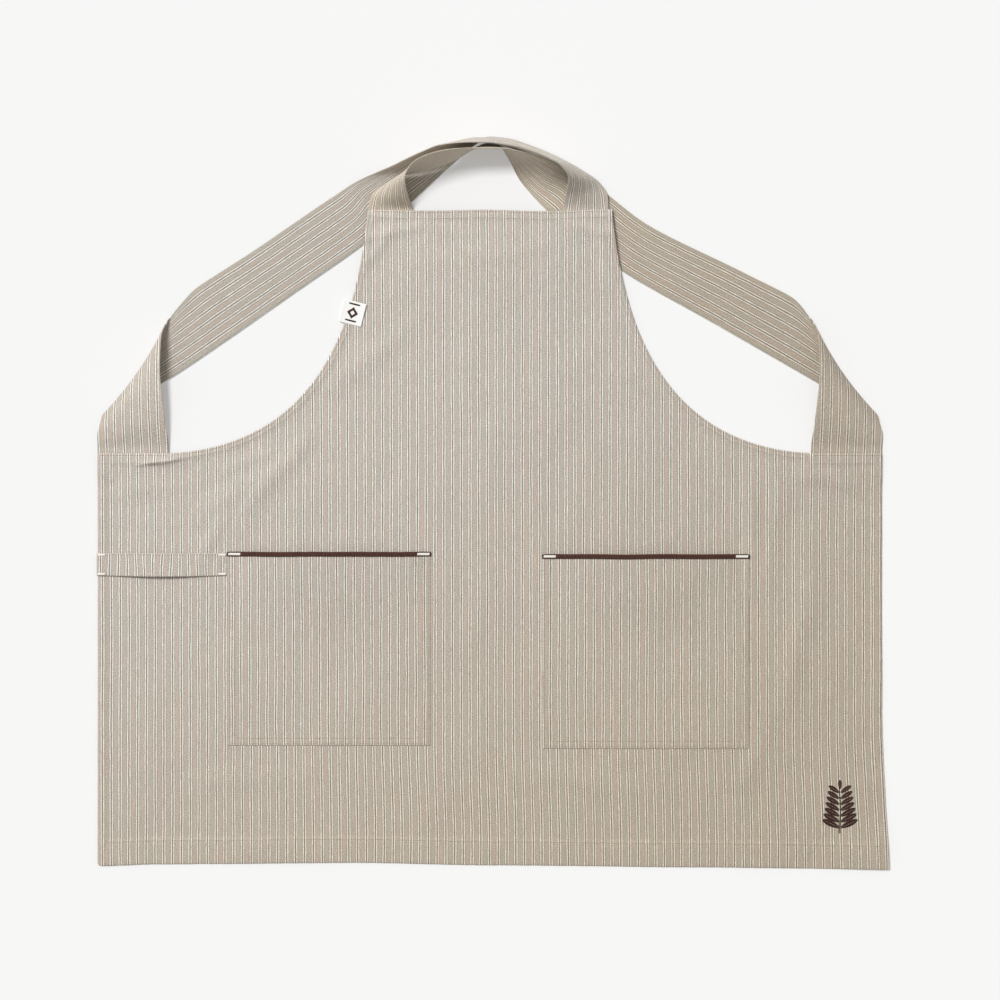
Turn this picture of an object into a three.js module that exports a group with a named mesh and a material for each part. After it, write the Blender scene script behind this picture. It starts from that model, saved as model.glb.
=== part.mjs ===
// Cross-back work apron, lying flat with its front side up.
// Units are millimetres. +X is to the right as the apron is looked down on, +Y runs from the bottom hem
// to the neck, +Z is up off the table. The origin is on the underside, on the centre line.
// The skirt folds up over the bib about one line below the hips.
import * as THREE from 'three';

// ---------------------------------------------------------------- driving dimensions
const CLOTH = 1.2;              // panel thickness
const HEM = 2.0;                // thickness of a turned hem
const STRAP = 1.6;              // thickness of a strap, two layers of cloth
const GAP = 0.3;                // clearance between sewn pieces
const HALF_WIDTH = 490;         // centre line to side edge
const BIB_HALF = 152.5;         // centre line to bib corner
const BIB_TOP = 363;            // top edge of the bib
const HIP_Y = 61;               // top edge of the hip hems
const HIP_X = 400;              // inner end of the hip hems
const SKIRT_BOTTOM = -455;      // bottom edge
const FLARE = 9;                // how far the bottom right corner swings out
const FOLD_Y = -14;             // line the skirt folds on
const SIDE_HEM = 12;
const BOTTOM_HEM = 31;
const TOP_HEM = 12;
const HIP_HEM = 15;
const ARMHOLE_HEM = 9;
const BIB_LIFT = 4.8;           // the bib's top edge lies over the strap ends
const HIP_LIFT = 2.7;           // the hip hems lie over the strap ends
const LIFT_FROM = 190;          // where the bib starts to rise off the table
const LIFT_TO = 335;
// the armhole edge is one cubic curve from the bib corner to the hip hem
const ARMHOLE = [[BIB_HALF, BIB_TOP], [165, 232], [210, 71], [HIP_X, 63]];
const ARMHOLE_FROM = 0.032;     // the hem runs along this share of the curve
const ARMHOLE_TO = 0.99;
const ARMHOLE_PARTS = 16;

const POCKET_LEFT = { x: -201, width: 253, top: -62, bottom: -304 };
const POCKET_RIGHT = { x: 194.5, width: 257, top: -65, bottom: -308 };
const POCKET_GAPE = 8;          // the mouth stands this far off the panel at its middle
const GAPE_DEPTH = 120;         // how far down the pocket the gape fades
const GAPE_STEEPNESS = 5;       // how soon the mouth closes towards its ends
const BINDING = { width: 6, thickness: 1.4 };
const POCKET_TACK = [15, 3.2, 0.8];
const POCKET_TACK_LIFT = 2.2;   // clears the gape under the tack
const LOOP = { x0: -490, x1: -329.5, y0: -92, y1: -64, thickness: 1.6, bulge: 8 };
const LOOP_TACK = [9, 2.6, 0.8];
const LOOP_TACK_LIFT = 0.9;     // clears the loop where it starts to rise
const LOOP_ROUNDNESS = 1.2;     // above 1 the loop leaves its ends more flatly
const LABEL = { x: -175, y: 236, width: 29, height: 29, thickness: 0.8, turn: -0.3, z: 5.2 };
const MOTIF = { x: 437, y: -380, height: 66, thickness: 0.6 };

// Straps: one row for each station along the length. A row holds the edge that stays low, the edge
// that rises round the neck, and how far the cloth bows off the straight line between the two.
const RIGHT_CORNER_NECK = [
  [[147, 352, 3.6], [90, 352, 3.6]],
  [[148, 365, 3.6], [91, 365, 3.6]],
  [[147, 382, 5], [94, 381, 14], [0, 0, 3]],
  [[137, 398, 3], [97, 398, 36], [6, 3, 4]],
  [[113, 415, 2], [89, 411, 49], [3, 5, 0]],
  [[80, 433, 1.5], [72, 422, 55]],
  [[46, 447, 1.2], [46, 434, 55]],
  [[22, 454, 1.2], [22, 440, 55]],
  [[0, 456, 1.2], [-3, 441, 55]],
  [[-20, 445, 1.2], [-30, 441, 53], [0, 14, -4]],
  [[-41, 427, 1.2], [-60, 439, 47], [0, 15, -8]],
  [[-66, 404, 1], [-86, 431, 38], [-10, 13, -18]],
  [[-96, 376, 1], [-121, 417, 22], [-12, 20, -10]],
  [[-125, 350, 1], [-162, 402, 6], [-9, 13, -2.5]],
  [[-159, 321, 1], [-201, 378, 2]],
  [[-250, 257, 1], [-292, 316, 1.5]],
  [[-330, 201, 1], [-371, 264, 1.5]],
];
const LEFT_CORNER_NECK = [
  [[-151, 352, 3.6], [-95, 352, 3.6]],
  [[-152, 365, 3.6], [-96, 365, 3.6]],
  [[-148, 382, 6], [-101, 380, 25], [0, 0, 4]],
  [[-129, 397, 8], [-104, 396, 49], [-4, 3, 2]],
  [[-106, 407, 10.5], [-97, 412, 61]],
  [[-84, 412, 11.5], [-82, 422, 64]],
  [[-62, 418, 11.5], [-60, 429, 64]],
  [[-42, 427, 8], [-40, 432, 61]],
  [[-22, 440, 3], [-20, 433, 59]],
  [[-3, 444, 1.5], [-2, 433, 57]],
  [[11, 440, 1.2], [17, 433, 56]],
  [[23, 423, 1], [38, 430, 51], [2, 3, -4]],
  [[36, 404, 1], [60, 426, 41], [4, 4, -8]],
  [[52, 384, 1], [82, 420, 25], [2, 3, -6]],
  [[72, 363, 1], [104, 408, 9], [9, 12, -4]],
  [[100, 340, 1], [137, 391, 1.5]],
  [[160, 292, 1], [194, 348, 1.5]],
  [[280, 223, 1], [316, 287, 1.5]],
];
// The last stretch turns over one slanting crease and runs down to the hip. It is given for the
// right hip and mirrored for the left.
const HIP_TURN = [
  [[400, 154, 1], [382, 252, 1.8]],
  [[462, 118, 1], [396, 235, 2]],
  [[485, 107, 2.8], [404, 222, 6]],
  [[485, 100, 4.8], [408, 207, 11]],
  [[488, 88, 5], [409, 165, 9]],
  [[490, 76, 3.5], [405, 112, 5]],
  [[490, 66, 1.4], [401, 66, 1.6]],
  [[490, 50, 1], [402, 50, 1]],
];
const STEPS_PER_STATION = 2;
const STEPS_ACROSS = 4;

// ---------------------------------------------------------------- finishes
const finish = (color, roughness) => new THREE.MeshStandardMaterial({ color, roughness, metalness: 0 });
const STRIPED_COTTON = finish(0xbdb2a2, 0.9);
const BROWN_BINDING = finish(0x3a2320, 0.85);
const WHITE_THREAD = finish(0xf0eee8, 0.7);
const LABEL_TAPE = finish(0xf4f3f0, 0.75);
const BROWN_THREAD = finish(0x42251f, 0.65);

// ---------------------------------------------------------------- helpers
const apron = new THREE.Group();

function addPiece(name, geometry, material) {
  const mesh = new THREE.Mesh(geometry, material);
  mesh.name = name;
  apron.add(mesh);
  return mesh;
}

function smoothStep(t) {
  const s = Math.min(1, Math.max(0, t));
  return s * s * (3 - 2 * s);
}

const bibLift = (y) => BIB_LIFT * smoothStep((y - LIFT_FROM) / (LIFT_TO - LIFT_FROM));

// A closed sheet: place(u, v) gives the underside at u, v from 0 to 1, and the sheet is thick upwards.
function sheet(stepsU, stepsV, thickness, place) {
  const geometry = new THREE.BoxGeometry(1, 1, 1, stepsU, stepsV, 1);
  const corner = geometry.attributes.position;
  for (let i = 0; i < corner.count; i++) {
    const [x, y, z] = place(corner.getX(i) + 0.5, corner.getY(i) + 0.5);
    corner.setXYZ(i, x, y, z + (corner.getZ(i) > 0 ? thickness : 0));
  }
  return geometry;
}

function flatStrip(x0, x1, y0, y1, z, thickness) {
  return sheet(1, 1, thickness, (u, v) => [x0 + u * (x1 - x0), y0 + v * (y1 - y0), z]);
}

// a point of the armhole edge, moved inwards by inset
function armholePoint(t, inset) {
  const curve = new THREE.CubicBezierCurve(...ARMHOLE.map(([x, y]) => new THREE.Vector2(x, y)));
  const point = curve.getPoint(t);
  const along = curve.getTangent(t);
  return [point.x + along.y * inset, point.y - along.x * inset];
}

function armholeSteps() {
  const share = (ARMHOLE_TO - ARMHOLE_FROM) / ARMHOLE_PARTS;
  return Array.from({ length: ARMHOLE_PARTS + 1 }, (_, i) => ARMHOLE_FROM + i * share);
}

// where the outer side edge lies: it swings out a little towards the bottom right corner
function sideX(side, y) {
  const swing = side > 0 ? FLARE * smoothStep((-250 - y) / 240) : 0;
  return side * (HALF_WIDTH + swing);
}

// Slopes that keep a cubic through the stations free of overshoot.
function slopeAt(values, i) {
  if (i === 0 || i === values.length - 1) return 0;
  const before = values[i] - values[i - 1];
  const after = values[i + 1] - values[i];
  return before * after <= 0 ? 0 : (2 * before * after) / (before + after);
}

function smoothValue(values, position) {
  const i = Math.min(values.length - 2, Math.floor(position));
  const t = position - i;
  const h = t * t * (3 - 2 * t);
  return values[i] * (1 - h) + values[i + 1] * h
    + slopeAt(values, i) * (t * (1 - t) * (1 - t)) - slopeAt(values, i + 1) * (t * t * (1 - t));
}

// A strap: a thick ribbon between the two edges, bowed across by a quadratic curve.
function strapGeometry(stations) {
  const column = (edge, axis) => stations.map((station) => (station[edge] ?? [0, 0, 0])[axis]);
  const tracks = [0, 1, 2].map((edge) => [0, 1, 2].map((axis) => column(edge, axis)));
  const last = stations.length - 1;
  const surface = (u, v) => {
    const [low, high, bow] = tracks.map((track) => track.map((values) => smoothValue(values, u * last)));
    const bulge = 2 * v * (1 - v);
    const at = (axis) => low[axis] * (1 - v) + high[axis] * v + bow[axis] * bulge;
    return new THREE.Vector3(at(0), at(1), at(2));
  };
  const step = 0.004;
  const normal = (u, v) => {
    const along = surface(Math.min(1, u + step), v).sub(surface(Math.max(0, u - step), v));
    const across = surface(u, Math.min(1, v + step)).sub(surface(u, Math.max(0, v - step)));
    return along.cross(across).normalize();
  };
  const geometry = new THREE.BoxGeometry(1, 1, 1, last * STEPS_PER_STATION, STEPS_ACROSS, 1);
  const corner = geometry.attributes.position;
  for (let i = 0; i < corner.count; i++) {
    const u = corner.getX(i) + 0.5;
    const v = corner.getY(i) + 0.5;
    const point = surface(u, v).addScaledVector(normal(u, v), Math.sign(corner.getZ(i)) * STRAP / 2);
    corner.setXYZ(i, point.x, point.y, point.z);
  }
  return geometry;
}

const mirrored = (stations) => stations.map((station) => station.map(([x, y, z]) => [-x, y, z]));

// ---------------------------------------------------------------- bib
// Rows run from the fold line up to the hips, then follow the armhole edge to the top hem.
function bibPanel() {
  const sideHalf = HALF_WIDTH - SIDE_HEM - GAP;
  const underHip = HIP_Y - HIP_HEM - GAP;
  const hipRows = [[sideHalf, FOLD_Y + GAP], [sideHalf, underHip], [HIP_X - GAP, underHip + GAP]];
  const armholeRows = armholeSteps().map((t) => armholePoint(t, ARMHOLE_HEM + GAP));
  const rows = [...hipRows, ...armholeRows.reverse()];
  const geometry = sheet(12, rows.length - 1, CLOTH, (u, v) => {
    const [halfWidth, y] = rows[Math.round(v * (rows.length - 1))];
    return [(2 * u - 1) * halfWidth, y, bibLift(y)];
  });
  addPiece('bib_panel', geometry, STRIPED_COTTON);
}

function bibHems() {
  const topHem = flatStrip(-BIB_HALF, BIB_HALF, BIB_TOP - TOP_HEM, BIB_TOP, BIB_LIFT, HEM);
  addPiece('bib_top_hem', topHem, STRIPED_COTTON);
  for (const [name, side] of [['left', -1], ['right', 1]]) {
    const steps = side > 0 ? armholeSteps() : armholeSteps().reverse();
    const edge = sheet(ARMHOLE_PARTS, 1, HEM, (u, v) => {
      const [x, y] = armholePoint(steps[Math.round(u * ARMHOLE_PARTS)], ARMHOLE_HEM * (1 - v));
      return [side * x, y, bibLift(y)];
    });
    addPiece(`${name}_armhole_hem`, edge, STRIPED_COTTON);
    const hipEnds = [side * (HIP_X + GAP), sideX(side, HIP_Y)].sort((a, b) => a - b);
    const hipHem = flatStrip(...hipEnds, HIP_Y - HIP_HEM, HIP_Y, HIP_LIFT, HEM);
    addPiece(`${name}_hip_hem`, hipHem, STRIPED_COTTON);
    const sideEnds = [sideX(side, 0), sideX(side, 0) - side * SIDE_HEM].sort((a, b) => a - b);
    const sideHem = flatStrip(...sideEnds, FOLD_Y + GAP, HIP_Y - HIP_HEM - GAP, 0, HEM);
    addPiece(`${name}_hip_side_hem`, sideHem, STRIPED_COTTON);
  }
}

function straps() {
  addPiece('right_strap', strapGeometry([...RIGHT_CORNER_NECK, ...mirrored(HIP_TURN)]), STRIPED_COTTON);
  addPiece('left_strap', strapGeometry([...LEFT_CORNER_NECK, ...HIP_TURN]), STRIPED_COTTON);
}

function wovenLabel() {
  const { width, height, thickness, turn, x, y, z } = LABEL;
  const label = addPiece('woven_label', new THREE.BoxGeometry(width, height, thickness), LABEL_TAPE);
  label.position.set(x, y, z);
  label.rotation.z = turn;
}

// ---------------------------------------------------------------- skirt
function skirtPanel() {
  const top = FOLD_Y - GAP;
  const bottom = SKIRT_BOTTOM + BOTTOM_HEM + GAP;
  const geometry = sheet(2, 6, CLOTH, (u, v) => {
    const y = bottom + v * (top - bottom);
    const left = sideX(-1, y) + SIDE_HEM + GAP;
    const right = sideX(1, y) - SIDE_HEM - GAP;
    return [left + u * (right - left), y, 0];
  });
  addPiece('skirt_panel', geometry, STRIPED_COTTON);
}

function skirtHems() {
  const top = FOLD_Y - GAP;
  const bottom = SKIRT_BOTTOM + BOTTOM_HEM + GAP;
  for (const [name, side] of [['left', -1], ['right', 1]]) {
    const edge = sheet(1, 6, HEM, (u, v) => {
      const y = bottom + v * (top - bottom);
      const outer = sideX(side, y);
      return [side > 0 ? outer - SIDE_HEM * (1 - u) : outer + SIDE_HEM * u, y, 0];
    });
    addPiece(`${name}_side_hem`, edge, STRIPED_COTTON);
  }
  const bottomHem = flatStrip(sideX(-1, SKIRT_BOTTOM), sideX(1, SKIRT_BOTTOM),
    SKIRT_BOTTOM, SKIRT_BOTTOM + BOTTOM_HEM, 0, HEM);
  addPiece('bottom_hem', bottomHem, STRIPED_COTTON);
}

// how far a pocket's cloth stands off the panel
function pocketLift(pocket, x, y) {
  const fromMiddle = (x - pocket.x) / (pocket.width / 2);
  const acrossMouth = (1 - fromMiddle * fromMiddle) * smoothStep((1 - Math.abs(fromMiddle)) * GAPE_STEEPNESS);
  return POCKET_GAPE * acrossMouth * smoothStep(1 - (pocket.top - y) / GAPE_DEPTH);
}

function pocket(name, place) {
  const left = place.x - place.width / 2;
  const floor = CLOTH + GAP;
  const mouth = place.top - BINDING.width;
  const patch = sheet(12, 8, CLOTH, (u, v) => {
    const x = left + u * place.width;
    const y = place.bottom + Math.sqrt(v) * (mouth - GAP - place.bottom);
    return [x, y, floor + pocketLift(place, x, y)];
  });
  addPiece(`${name}_pocket`, patch, STRIPED_COTTON);
  const binding = sheet(12, 1, BINDING.thickness, (u, v) => {
    const x = left - 1 + u * (place.width + 2);
    const y = mouth + v * BINDING.width;
    return [x, y, floor + pocketLift(place, x, y)];
  });
  addPiece(`${name}_pocket_binding`, binding, BROWN_BINDING);
  for (const [end, side] of [['outer', Math.sign(place.x)], ['inner', -Math.sign(place.x)]]) {
    const x = place.x + side * (place.width / 2 - POCKET_TACK[0] / 2 - 1);
    const z = floor + BINDING.thickness + GAP + POCKET_TACK[2] / 2 + POCKET_TACK_LIFT;
    const bar = new THREE.BoxGeometry(...POCKET_TACK);
    const tack = addPiece(`${name}_pocket_tack_${end}`, bar, WHITE_THREAD);
    tack.position.set(x, mouth + BINDING.width / 2, z);
  }
}

function towelLoop() {
  const floor = HEM + GAP;
  const length = LOOP.x1 - LOOP.x0;
  const height = (u) => LOOP.bulge * Math.sin(Math.PI * smoothStep(u)) ** LOOP_ROUNDNESS;
  const strip = sheet(16, 1, LOOP.thickness, (u, v) => {
    const y = LOOP.y0 + v * (LOOP.y1 - LOOP.y0);
    return [LOOP.x0 + u * length, y, floor + height(u)];
  });
  addPiece('towel_loop', strip, STRIPED_COTTON);
  const inset = LOOP_TACK[0] / 2 + 0.5;
  for (const [endName, x] of [['outer', LOOP.x0 + inset], ['inner', LOOP.x1 - inset]]) {
    for (const [edgeName, y] of [['top', LOOP.y1 - 2], ['bottom', LOOP.y0 + 2]]) {
      const bar = new THREE.BoxGeometry(...LOOP_TACK);
      const tack = addPiece(`loop_tack_${endName}_${edgeName}`, bar, WHITE_THREAD);
      tack.position.set(x, y, floor + LOOP.thickness + GAP + LOOP_TACK[2] / 2 + LOOP_TACK_LIFT);
    }
  }
}

// A small sprig: a stem with pairs of leaves, drawn as one connected outline for each half.
function sprigOutline() {
  const outline = new THREE.Shape();
  const leafPairs = 4;
  const stem = 1.2;
  const pitch = MOTIF.height / (leafPairs + 1);
  const side = (direction, from, to) => {
    const step = Math.sign(to - from);
    for (let i = from; i !== to + step; i += step) {
      const root = (i + 0.5) * pitch;
      const reach = (22 - 3.2 * i) * direction;
      const before = root - (step > 0 ? 0.3 : -0.3) * pitch;
      const after = root + (step > 0 ? 0.3 : -0.3) * pitch;
      outline.lineTo(stem * direction, before);
      outline.quadraticCurveTo(reach * 0.6, before, reach, root + 0.45 * pitch);
      outline.quadraticCurveTo(reach * 0.4, after, stem * direction, after);
    }
  };
  outline.moveTo(-stem, 0);
  outline.lineTo(stem, 0);
  side(1, 0, leafPairs - 1);
  outline.lineTo(0, MOTIF.height);
  side(-1, leafPairs - 1, 0);
  outline.closePath();
  return outline;
}

function hemMotif() {
  const solid = { depth: MOTIF.thickness, bevelEnabled: false, curveSegments: 4 };
  const geometry = new THREE.ExtrudeGeometry(sprigOutline(), solid);
  const motif = addPiece('hem_motif', geometry, BROWN_THREAD);
  motif.position.set(MOTIF.x, MOTIF.y - MOTIF.height / 2, CLOTH + GAP);
}

// ---------------------------------------------------------------- assembly
bibPanel();
bibHems();
straps();
wovenLabel();
skirtPanel();
skirtHems();
pocket('left', POCKET_LEFT);
pocket('right', POCKET_RIGHT);
towelLoop();
hemMotif();

export default apron;
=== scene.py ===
"""Cross-back work apron, lying flat with its front side up: cloth, sewing and finishes.

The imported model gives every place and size. Shapes are worked out in millimetres and turned to
metres when a mesh is made. Cloth is one set of yarns throughout: each piece's UV map holds metres of
cloth, U across the stripes and V along them, so one striped material serves every piece.
"""
import math

import bpy
from bpy.props import FloatProperty, FloatVectorProperty, PointerProperty
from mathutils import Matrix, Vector, geometry, kdtree, noise


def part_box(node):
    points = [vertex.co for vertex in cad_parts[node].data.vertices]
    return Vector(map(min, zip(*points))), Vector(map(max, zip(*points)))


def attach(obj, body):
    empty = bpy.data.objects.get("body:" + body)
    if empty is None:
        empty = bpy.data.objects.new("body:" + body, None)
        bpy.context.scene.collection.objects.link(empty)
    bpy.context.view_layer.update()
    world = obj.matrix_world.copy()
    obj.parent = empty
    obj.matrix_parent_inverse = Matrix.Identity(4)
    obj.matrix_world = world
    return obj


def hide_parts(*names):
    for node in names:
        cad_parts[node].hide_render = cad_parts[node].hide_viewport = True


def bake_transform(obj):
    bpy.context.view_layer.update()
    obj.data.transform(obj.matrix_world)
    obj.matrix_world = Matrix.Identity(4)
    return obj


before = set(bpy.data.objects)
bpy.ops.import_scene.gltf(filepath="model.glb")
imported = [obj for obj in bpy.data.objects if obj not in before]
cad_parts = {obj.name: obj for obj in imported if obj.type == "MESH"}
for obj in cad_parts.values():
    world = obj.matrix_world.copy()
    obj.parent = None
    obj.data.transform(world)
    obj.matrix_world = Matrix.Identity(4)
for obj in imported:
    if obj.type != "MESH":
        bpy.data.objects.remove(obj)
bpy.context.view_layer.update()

bl_info = {
    "name": "Cross-back work apron",
    "version": (1, 0, 0),
    "blender": (4, 5, 0),
    "location": "View3D > Sidebar > Apron",
    "description": "Builds the cloth, sewing and finishes of a striped cross-back work apron",
    "category": "Object",
}

MM = 0.001


# ---------------------------------------------------------------- places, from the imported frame
def corners(node):
    """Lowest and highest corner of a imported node, in millimetres."""
    low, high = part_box(node)
    return low / MM, high / MM


HALF_WIDTH = -corners("left_hip_hem")[0].x
HIP_Y = corners("left_hip_hem")[1].y
HIP_X = -corners("left_hip_hem")[1].x
BIB_HALF = corners("bib_top_hem")[1].x
BIB_TOP = corners("bib_top_hem")[1].y
BIB_LIFT = corners("bib_top_hem")[0].z
HIP_LIFT = corners("left_hip_hem")[0].z
SKIRT_BOTTOM = corners("bottom_hem")[0].y
FLARE = corners("bottom_hem")[1].x - HALF_WIDTH

SIDE_HEM = 12.0
TOP_HEM = BIB_TOP - corners("bib_top_hem")[0].y
HIP_HEM = HIP_Y - corners("left_hip_hem")[0].y
BOTTOM_HEM = corners("bottom_hem")[1].y - SKIRT_BOTTOM
ARMHOLE_HEM = 9.0

PANEL = 1.0           # one layer of cloth
TURNED = 0.8          # the turned-under layer of a hem
LAYER_GAP = 0.12      # air between two layers that lie on each other
ROLL = 1.5            # radius of a folded edge
STRIPE_START = 3.2    # where the front's middle falls in the stripe pattern
SEAM_INSET = 1.6      # a row of stitches lies this far outside a hem's inner edge
EDGE_INSET = 2.6      # and a second row this far from the folded edge
NEEDLE_GAP = 0.28     # share of a stitch that is under the cloth
POCKET_ROWS = (2.2, 9.0)   # distances of a pocket's two rows of stitches from its edge
POCKET_GAPE = 7.4     # how far a pocket's mouth stands off the panel
GAPE_DEPTH = 120.0    # and how far down the pocket that reaches
LOOP_STAND = 3.2      # how far the towel loop's middle stands off the panel
LOOP_THICK = 1.55
FLOOR_HALF = 60.0     # half the floor's side, in metres, so that it fills any low view

# The armhole edge is one cubic curve from the bib corner to the hip hem.
ARMHOLE = [(BIB_HALF, BIB_TOP), (165.0, 232.0), (210.0, 71.0), (HIP_X, HIP_Y)]
# How far the bottom and top edges wander from straight, as (x, offset) stations.
BOTTOM_WAVE = [(-490, 0.5), (-420, 2.5), (-180, 4.5), (12, 1.2), (260, -1.2), (500, -3.6)]
TOP_WAVE = [(-153, 1.6), (-75, 0.4), (-6, 1.6), (70, -0.2), (153, 2.4)]

# Straps: one row for each station along the length. A row holds the edge that stays low, the edge
# that rises round the neck, and how far the cloth bows off the straight line between the two.
RIGHT_CORNER_NECK = [
    ((147, 352, 3.6), (90, 352, 3.6)),
    ((148, 365, 3.6), (91, 365, 3.6)),
    ((147, 382, 5), (94, 381, 14), (0, 0, 3)),
    ((137, 398, 3), (97, 398, 36), (6, 3, 4)),
    ((113, 415, 2), (89, 411, 49), (3, 5, 0)),
    ((80, 433, 1.5), (72, 422, 55), (0, -3, 0)),
    ((46, 447, 1.2), (46, 432.5, 55), (-3, -15, 0)),
    ((22, 454, 1.2), (22, 438, 55), (0, -11, 0)),
    ((0, 456, 1.2), (-3, 441, 55)),
    ((-20, 445, 1.2), (-30, 441, 53), (0, 14, -4)),
    ((-41, 427, 1.2), (-60, 439, 47), (0, 15, -8)),
    ((-66, 404, 1), (-86, 431, 38), (-10, 13, -18)),
    ((-96, 376, 1), (-121, 417, 22), (-12, 20, -10)),
    ((-125, 350, 1), (-162, 402, 6), (-9, 13, -2.5)),
    ((-159, 321, 1), (-201, 378, 2)),
    ((-250, 257, 1), (-292, 316, 1.5)),
    ((-330, 201, 1), (-371, 264, 1.5)),
]
LEFT_CORNER_NECK = [
    ((-151, 352, 3.6), (-95, 352, 3.6)),
    ((-152, 365, 3.6), (-96, 365, 3.6)),
    ((-148, 382, 6), (-101, 380, 25), (0, 0, 4)),
    ((-129, 397, 8), (-104, 396, 49), (-4, 3, 2)),
    ((-106, 407, 10.5), (-97, 412, 61)),
    ((-84, 412, 11.5), (-82, 422, 64)),
    ((-62, 418, 11.5), (-60, 429, 64)),
    ((-42, 427, 8), (-40, 432, 61)),
    ((-22, 440, 3), (-20, 433, 59)),
    ((-3, 448, 1.5), (-2, 433, 57)),
    ((11, 446, 1.2), (17, 433, 56)),
    ((23, 430, 1), (38, 430, 51), (2, 3, -4)),
    ((36, 404, 1), (60, 426, 41), (4, 4, -8)),
    ((52, 384, 1), (82, 420, 25), (2, 3, -6)),
    ((72, 363, 1), (104, 408, 9), (9, 12, -4)),
    ((100, 340, 1), (137, 391, 1.5)),
    ((160, 292, 1), (194, 348, 1.5)),
    ((280, 223, 1), (316, 287, 1.5)),
]
# The last stretch turns over one slanting crease and runs down to the hip. It is given for the
# right hip and mirrored for the left.
HIP_TURN = [
    ((400, 154, 1), (382, 252, 1.8)),
    ((462, 118, 1), (396, 235, 2), (-5, -4, 0)),
    ((484.5, 107.5, 2.8), (404, 222, 9), (-10, -7, 0)),
    ((486, 99.5, 4.8), (408, 207, 18), (-10, -7, 0)),
    ((489.5, 87, 5), (409, 165, 23)),
    ((490, 76, 3.5), (405, 112, 17)),
    ((490, 66, 1.4), (401, 66, 1.8)),
    ((490, 50, 1), (402, 50, 1)),
]
STRAP_WIDTH = 72.0
NECK_WIDTH = 58.0     # the strap narrows to this where it joins the bib
HIP_WIDTH = 89.0      # and widens to this at the hip
STRAP_THICK = 1.6
# Painted light: each strap's share of the cool-to-warm tint stands in for the uneven light over it.
STRAP_TINT = {"right_strap": 0.1, "left_strap": 0.8}   # 0 the cool end of the tint, 1 the warm end

# Soft creases pressed into the cloth: middle x, y, direction in degrees, half length, half width, height.
CREASES = [
    (-243, -20, 90, 150, 9, 0.7), (3, 60, 90, 60, 8, 0.6), (243, -190, 90, 120, 9, 0.7),
    (10, 90, 0, 60, 8, 0.6),
    (-268, 34, 52, 75, 12, 3.0), (-318, 14, 40, 60, 13, 2.4), (-400, 54, 8, 40, 8, 1.8),
    (-412, 50, 9, 27, 2.6, 2.6), (-345, -40, 68, 48, 10, 2.2), (-425, 16, 8, 60, 11, 1.6),
    (-300, 52, 28, 40, 8, 1.6),
    (326, -55, 92, 95, 10, 3.2), (352, -45, 88, 105, 14, 2.4), (384, -180, 84, 75, 13, 2.2),
    (300, 24, 122, 55, 13, 1.8), (428, 26, 172, 42, 10, 1.8), (400, -90, 100, 60, 14, 1.6),
    (-118, 337, 16, 38, 6, 2.2), (-138, 318, 58, 34, 7, 2.0), (122, 340, 166, 38, 6, 2.0),
    (143, 308, 104, 44, 7, 2.0), (-20, 306, 8, 80, 12, 1.0), (-60, 340, 175, 40, 8, 1.0),
    (-420, -300, 95, 75, 13, 1.4), (-300, -345, 5, 90, 15, 1.2), (330, -320, 75, 70, 13, 1.6),
    (120, -350, 172, 85, 14, 1.2), (-150, 180, 42, 70, 13, 1.5), (165, 175, 138, 70, 13, 1.5),
    (-30, 150, 100, 80, 14, 0.9), (60, -90, 95, 90, 12, 1.0), (-20, -160, 80, 80, 13, 1.0),
]


# ---------------------------------------------------------------- colours
def to_linear(hex_colour):
    """sRGB hex text to linear RGBA."""
    channels = [int(hex_colour[i:i + 2], 16) / 255 for i in (1, 3, 5)]
    return [c / 12.92 if c <= 0.04045 else ((c + 0.055) / 1.055) ** 2.4 for c in channels] + [1.0]


def colour_setting(name, description, hex_colour):
    return FloatVectorProperty(name=name, description=description, subtype="COLOR", size=4,
                               min=0.0, max=1.0, default=to_linear(hex_colour))


# ---------------------------------------------------------------- settings a user would change
class ApronClothSettings(bpy.types.PropertyGroup):
    """The striped cloth: how it is woven, coloured and laid."""

    stripe_pitch: FloatProperty(name="Stripe pitch", description="From one pair of cream lines to the next",
                                default=10.92 * MM, min=2 * MM, max=60 * MM, unit="LENGTH", precision=5)
    wrinkle: FloatProperty(name="Wrinkles", description="Share of the pressed creases that shows",
                           default=1.0, min=0.0, max=2.0, subtype="FACTOR")
    mesh_step: FloatProperty(name="Mesh step", description="Spacing of the cloth's points",
                             default=5 * MM, min=3 * MM, max=15 * MM, unit="LENGTH", precision=4)
    ground_cool: colour_setting("Cool ground", "Grey-green bands of the ground", "#bcb6a7")
    ground_warm: colour_setting("Warm ground", "Pinkish-beige bands of the ground", "#c5b5a6")
    cream: colour_setting("Cream line", "The two light warp lines of a stripe", "#f6f2e8")
    dark: colour_setting("Dark line", "The dark warp thread between the light ones", "#5e564d")


class ApronTrimSettings(bpy.types.PropertyGroup):
    """Tape, threads and stitches."""

    stitch: FloatProperty(name="Stitch length", description="From one needle hole to the next",
                          default=3.1 * MM, min=1.5 * MM, max=8 * MM, unit="LENGTH", precision=4)
    thread: FloatProperty(name="Thread", description="Thickness of the sewing thread",
                          default=0.45 * MM, min=0.2 * MM, max=1.5 * MM, unit="LENGTH", precision=5)
    seam_colour: colour_setting("Seam thread", "Thread of the hems and pockets", "#b0957e")
    tack_colour: colour_setting("Tack thread", "Thread of the bar tacks", "#f3f0e8")
    binding_colour: colour_setting("Binding", "Tape that binds the pocket mouths", "#4a2b20")
    label_colour: colour_setting("Label", "Woven tape of the label", "#f6f5f2")
    motif_colour: colour_setting("Motif", "Embroidery thread of the sprig", "#44231a")


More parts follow.
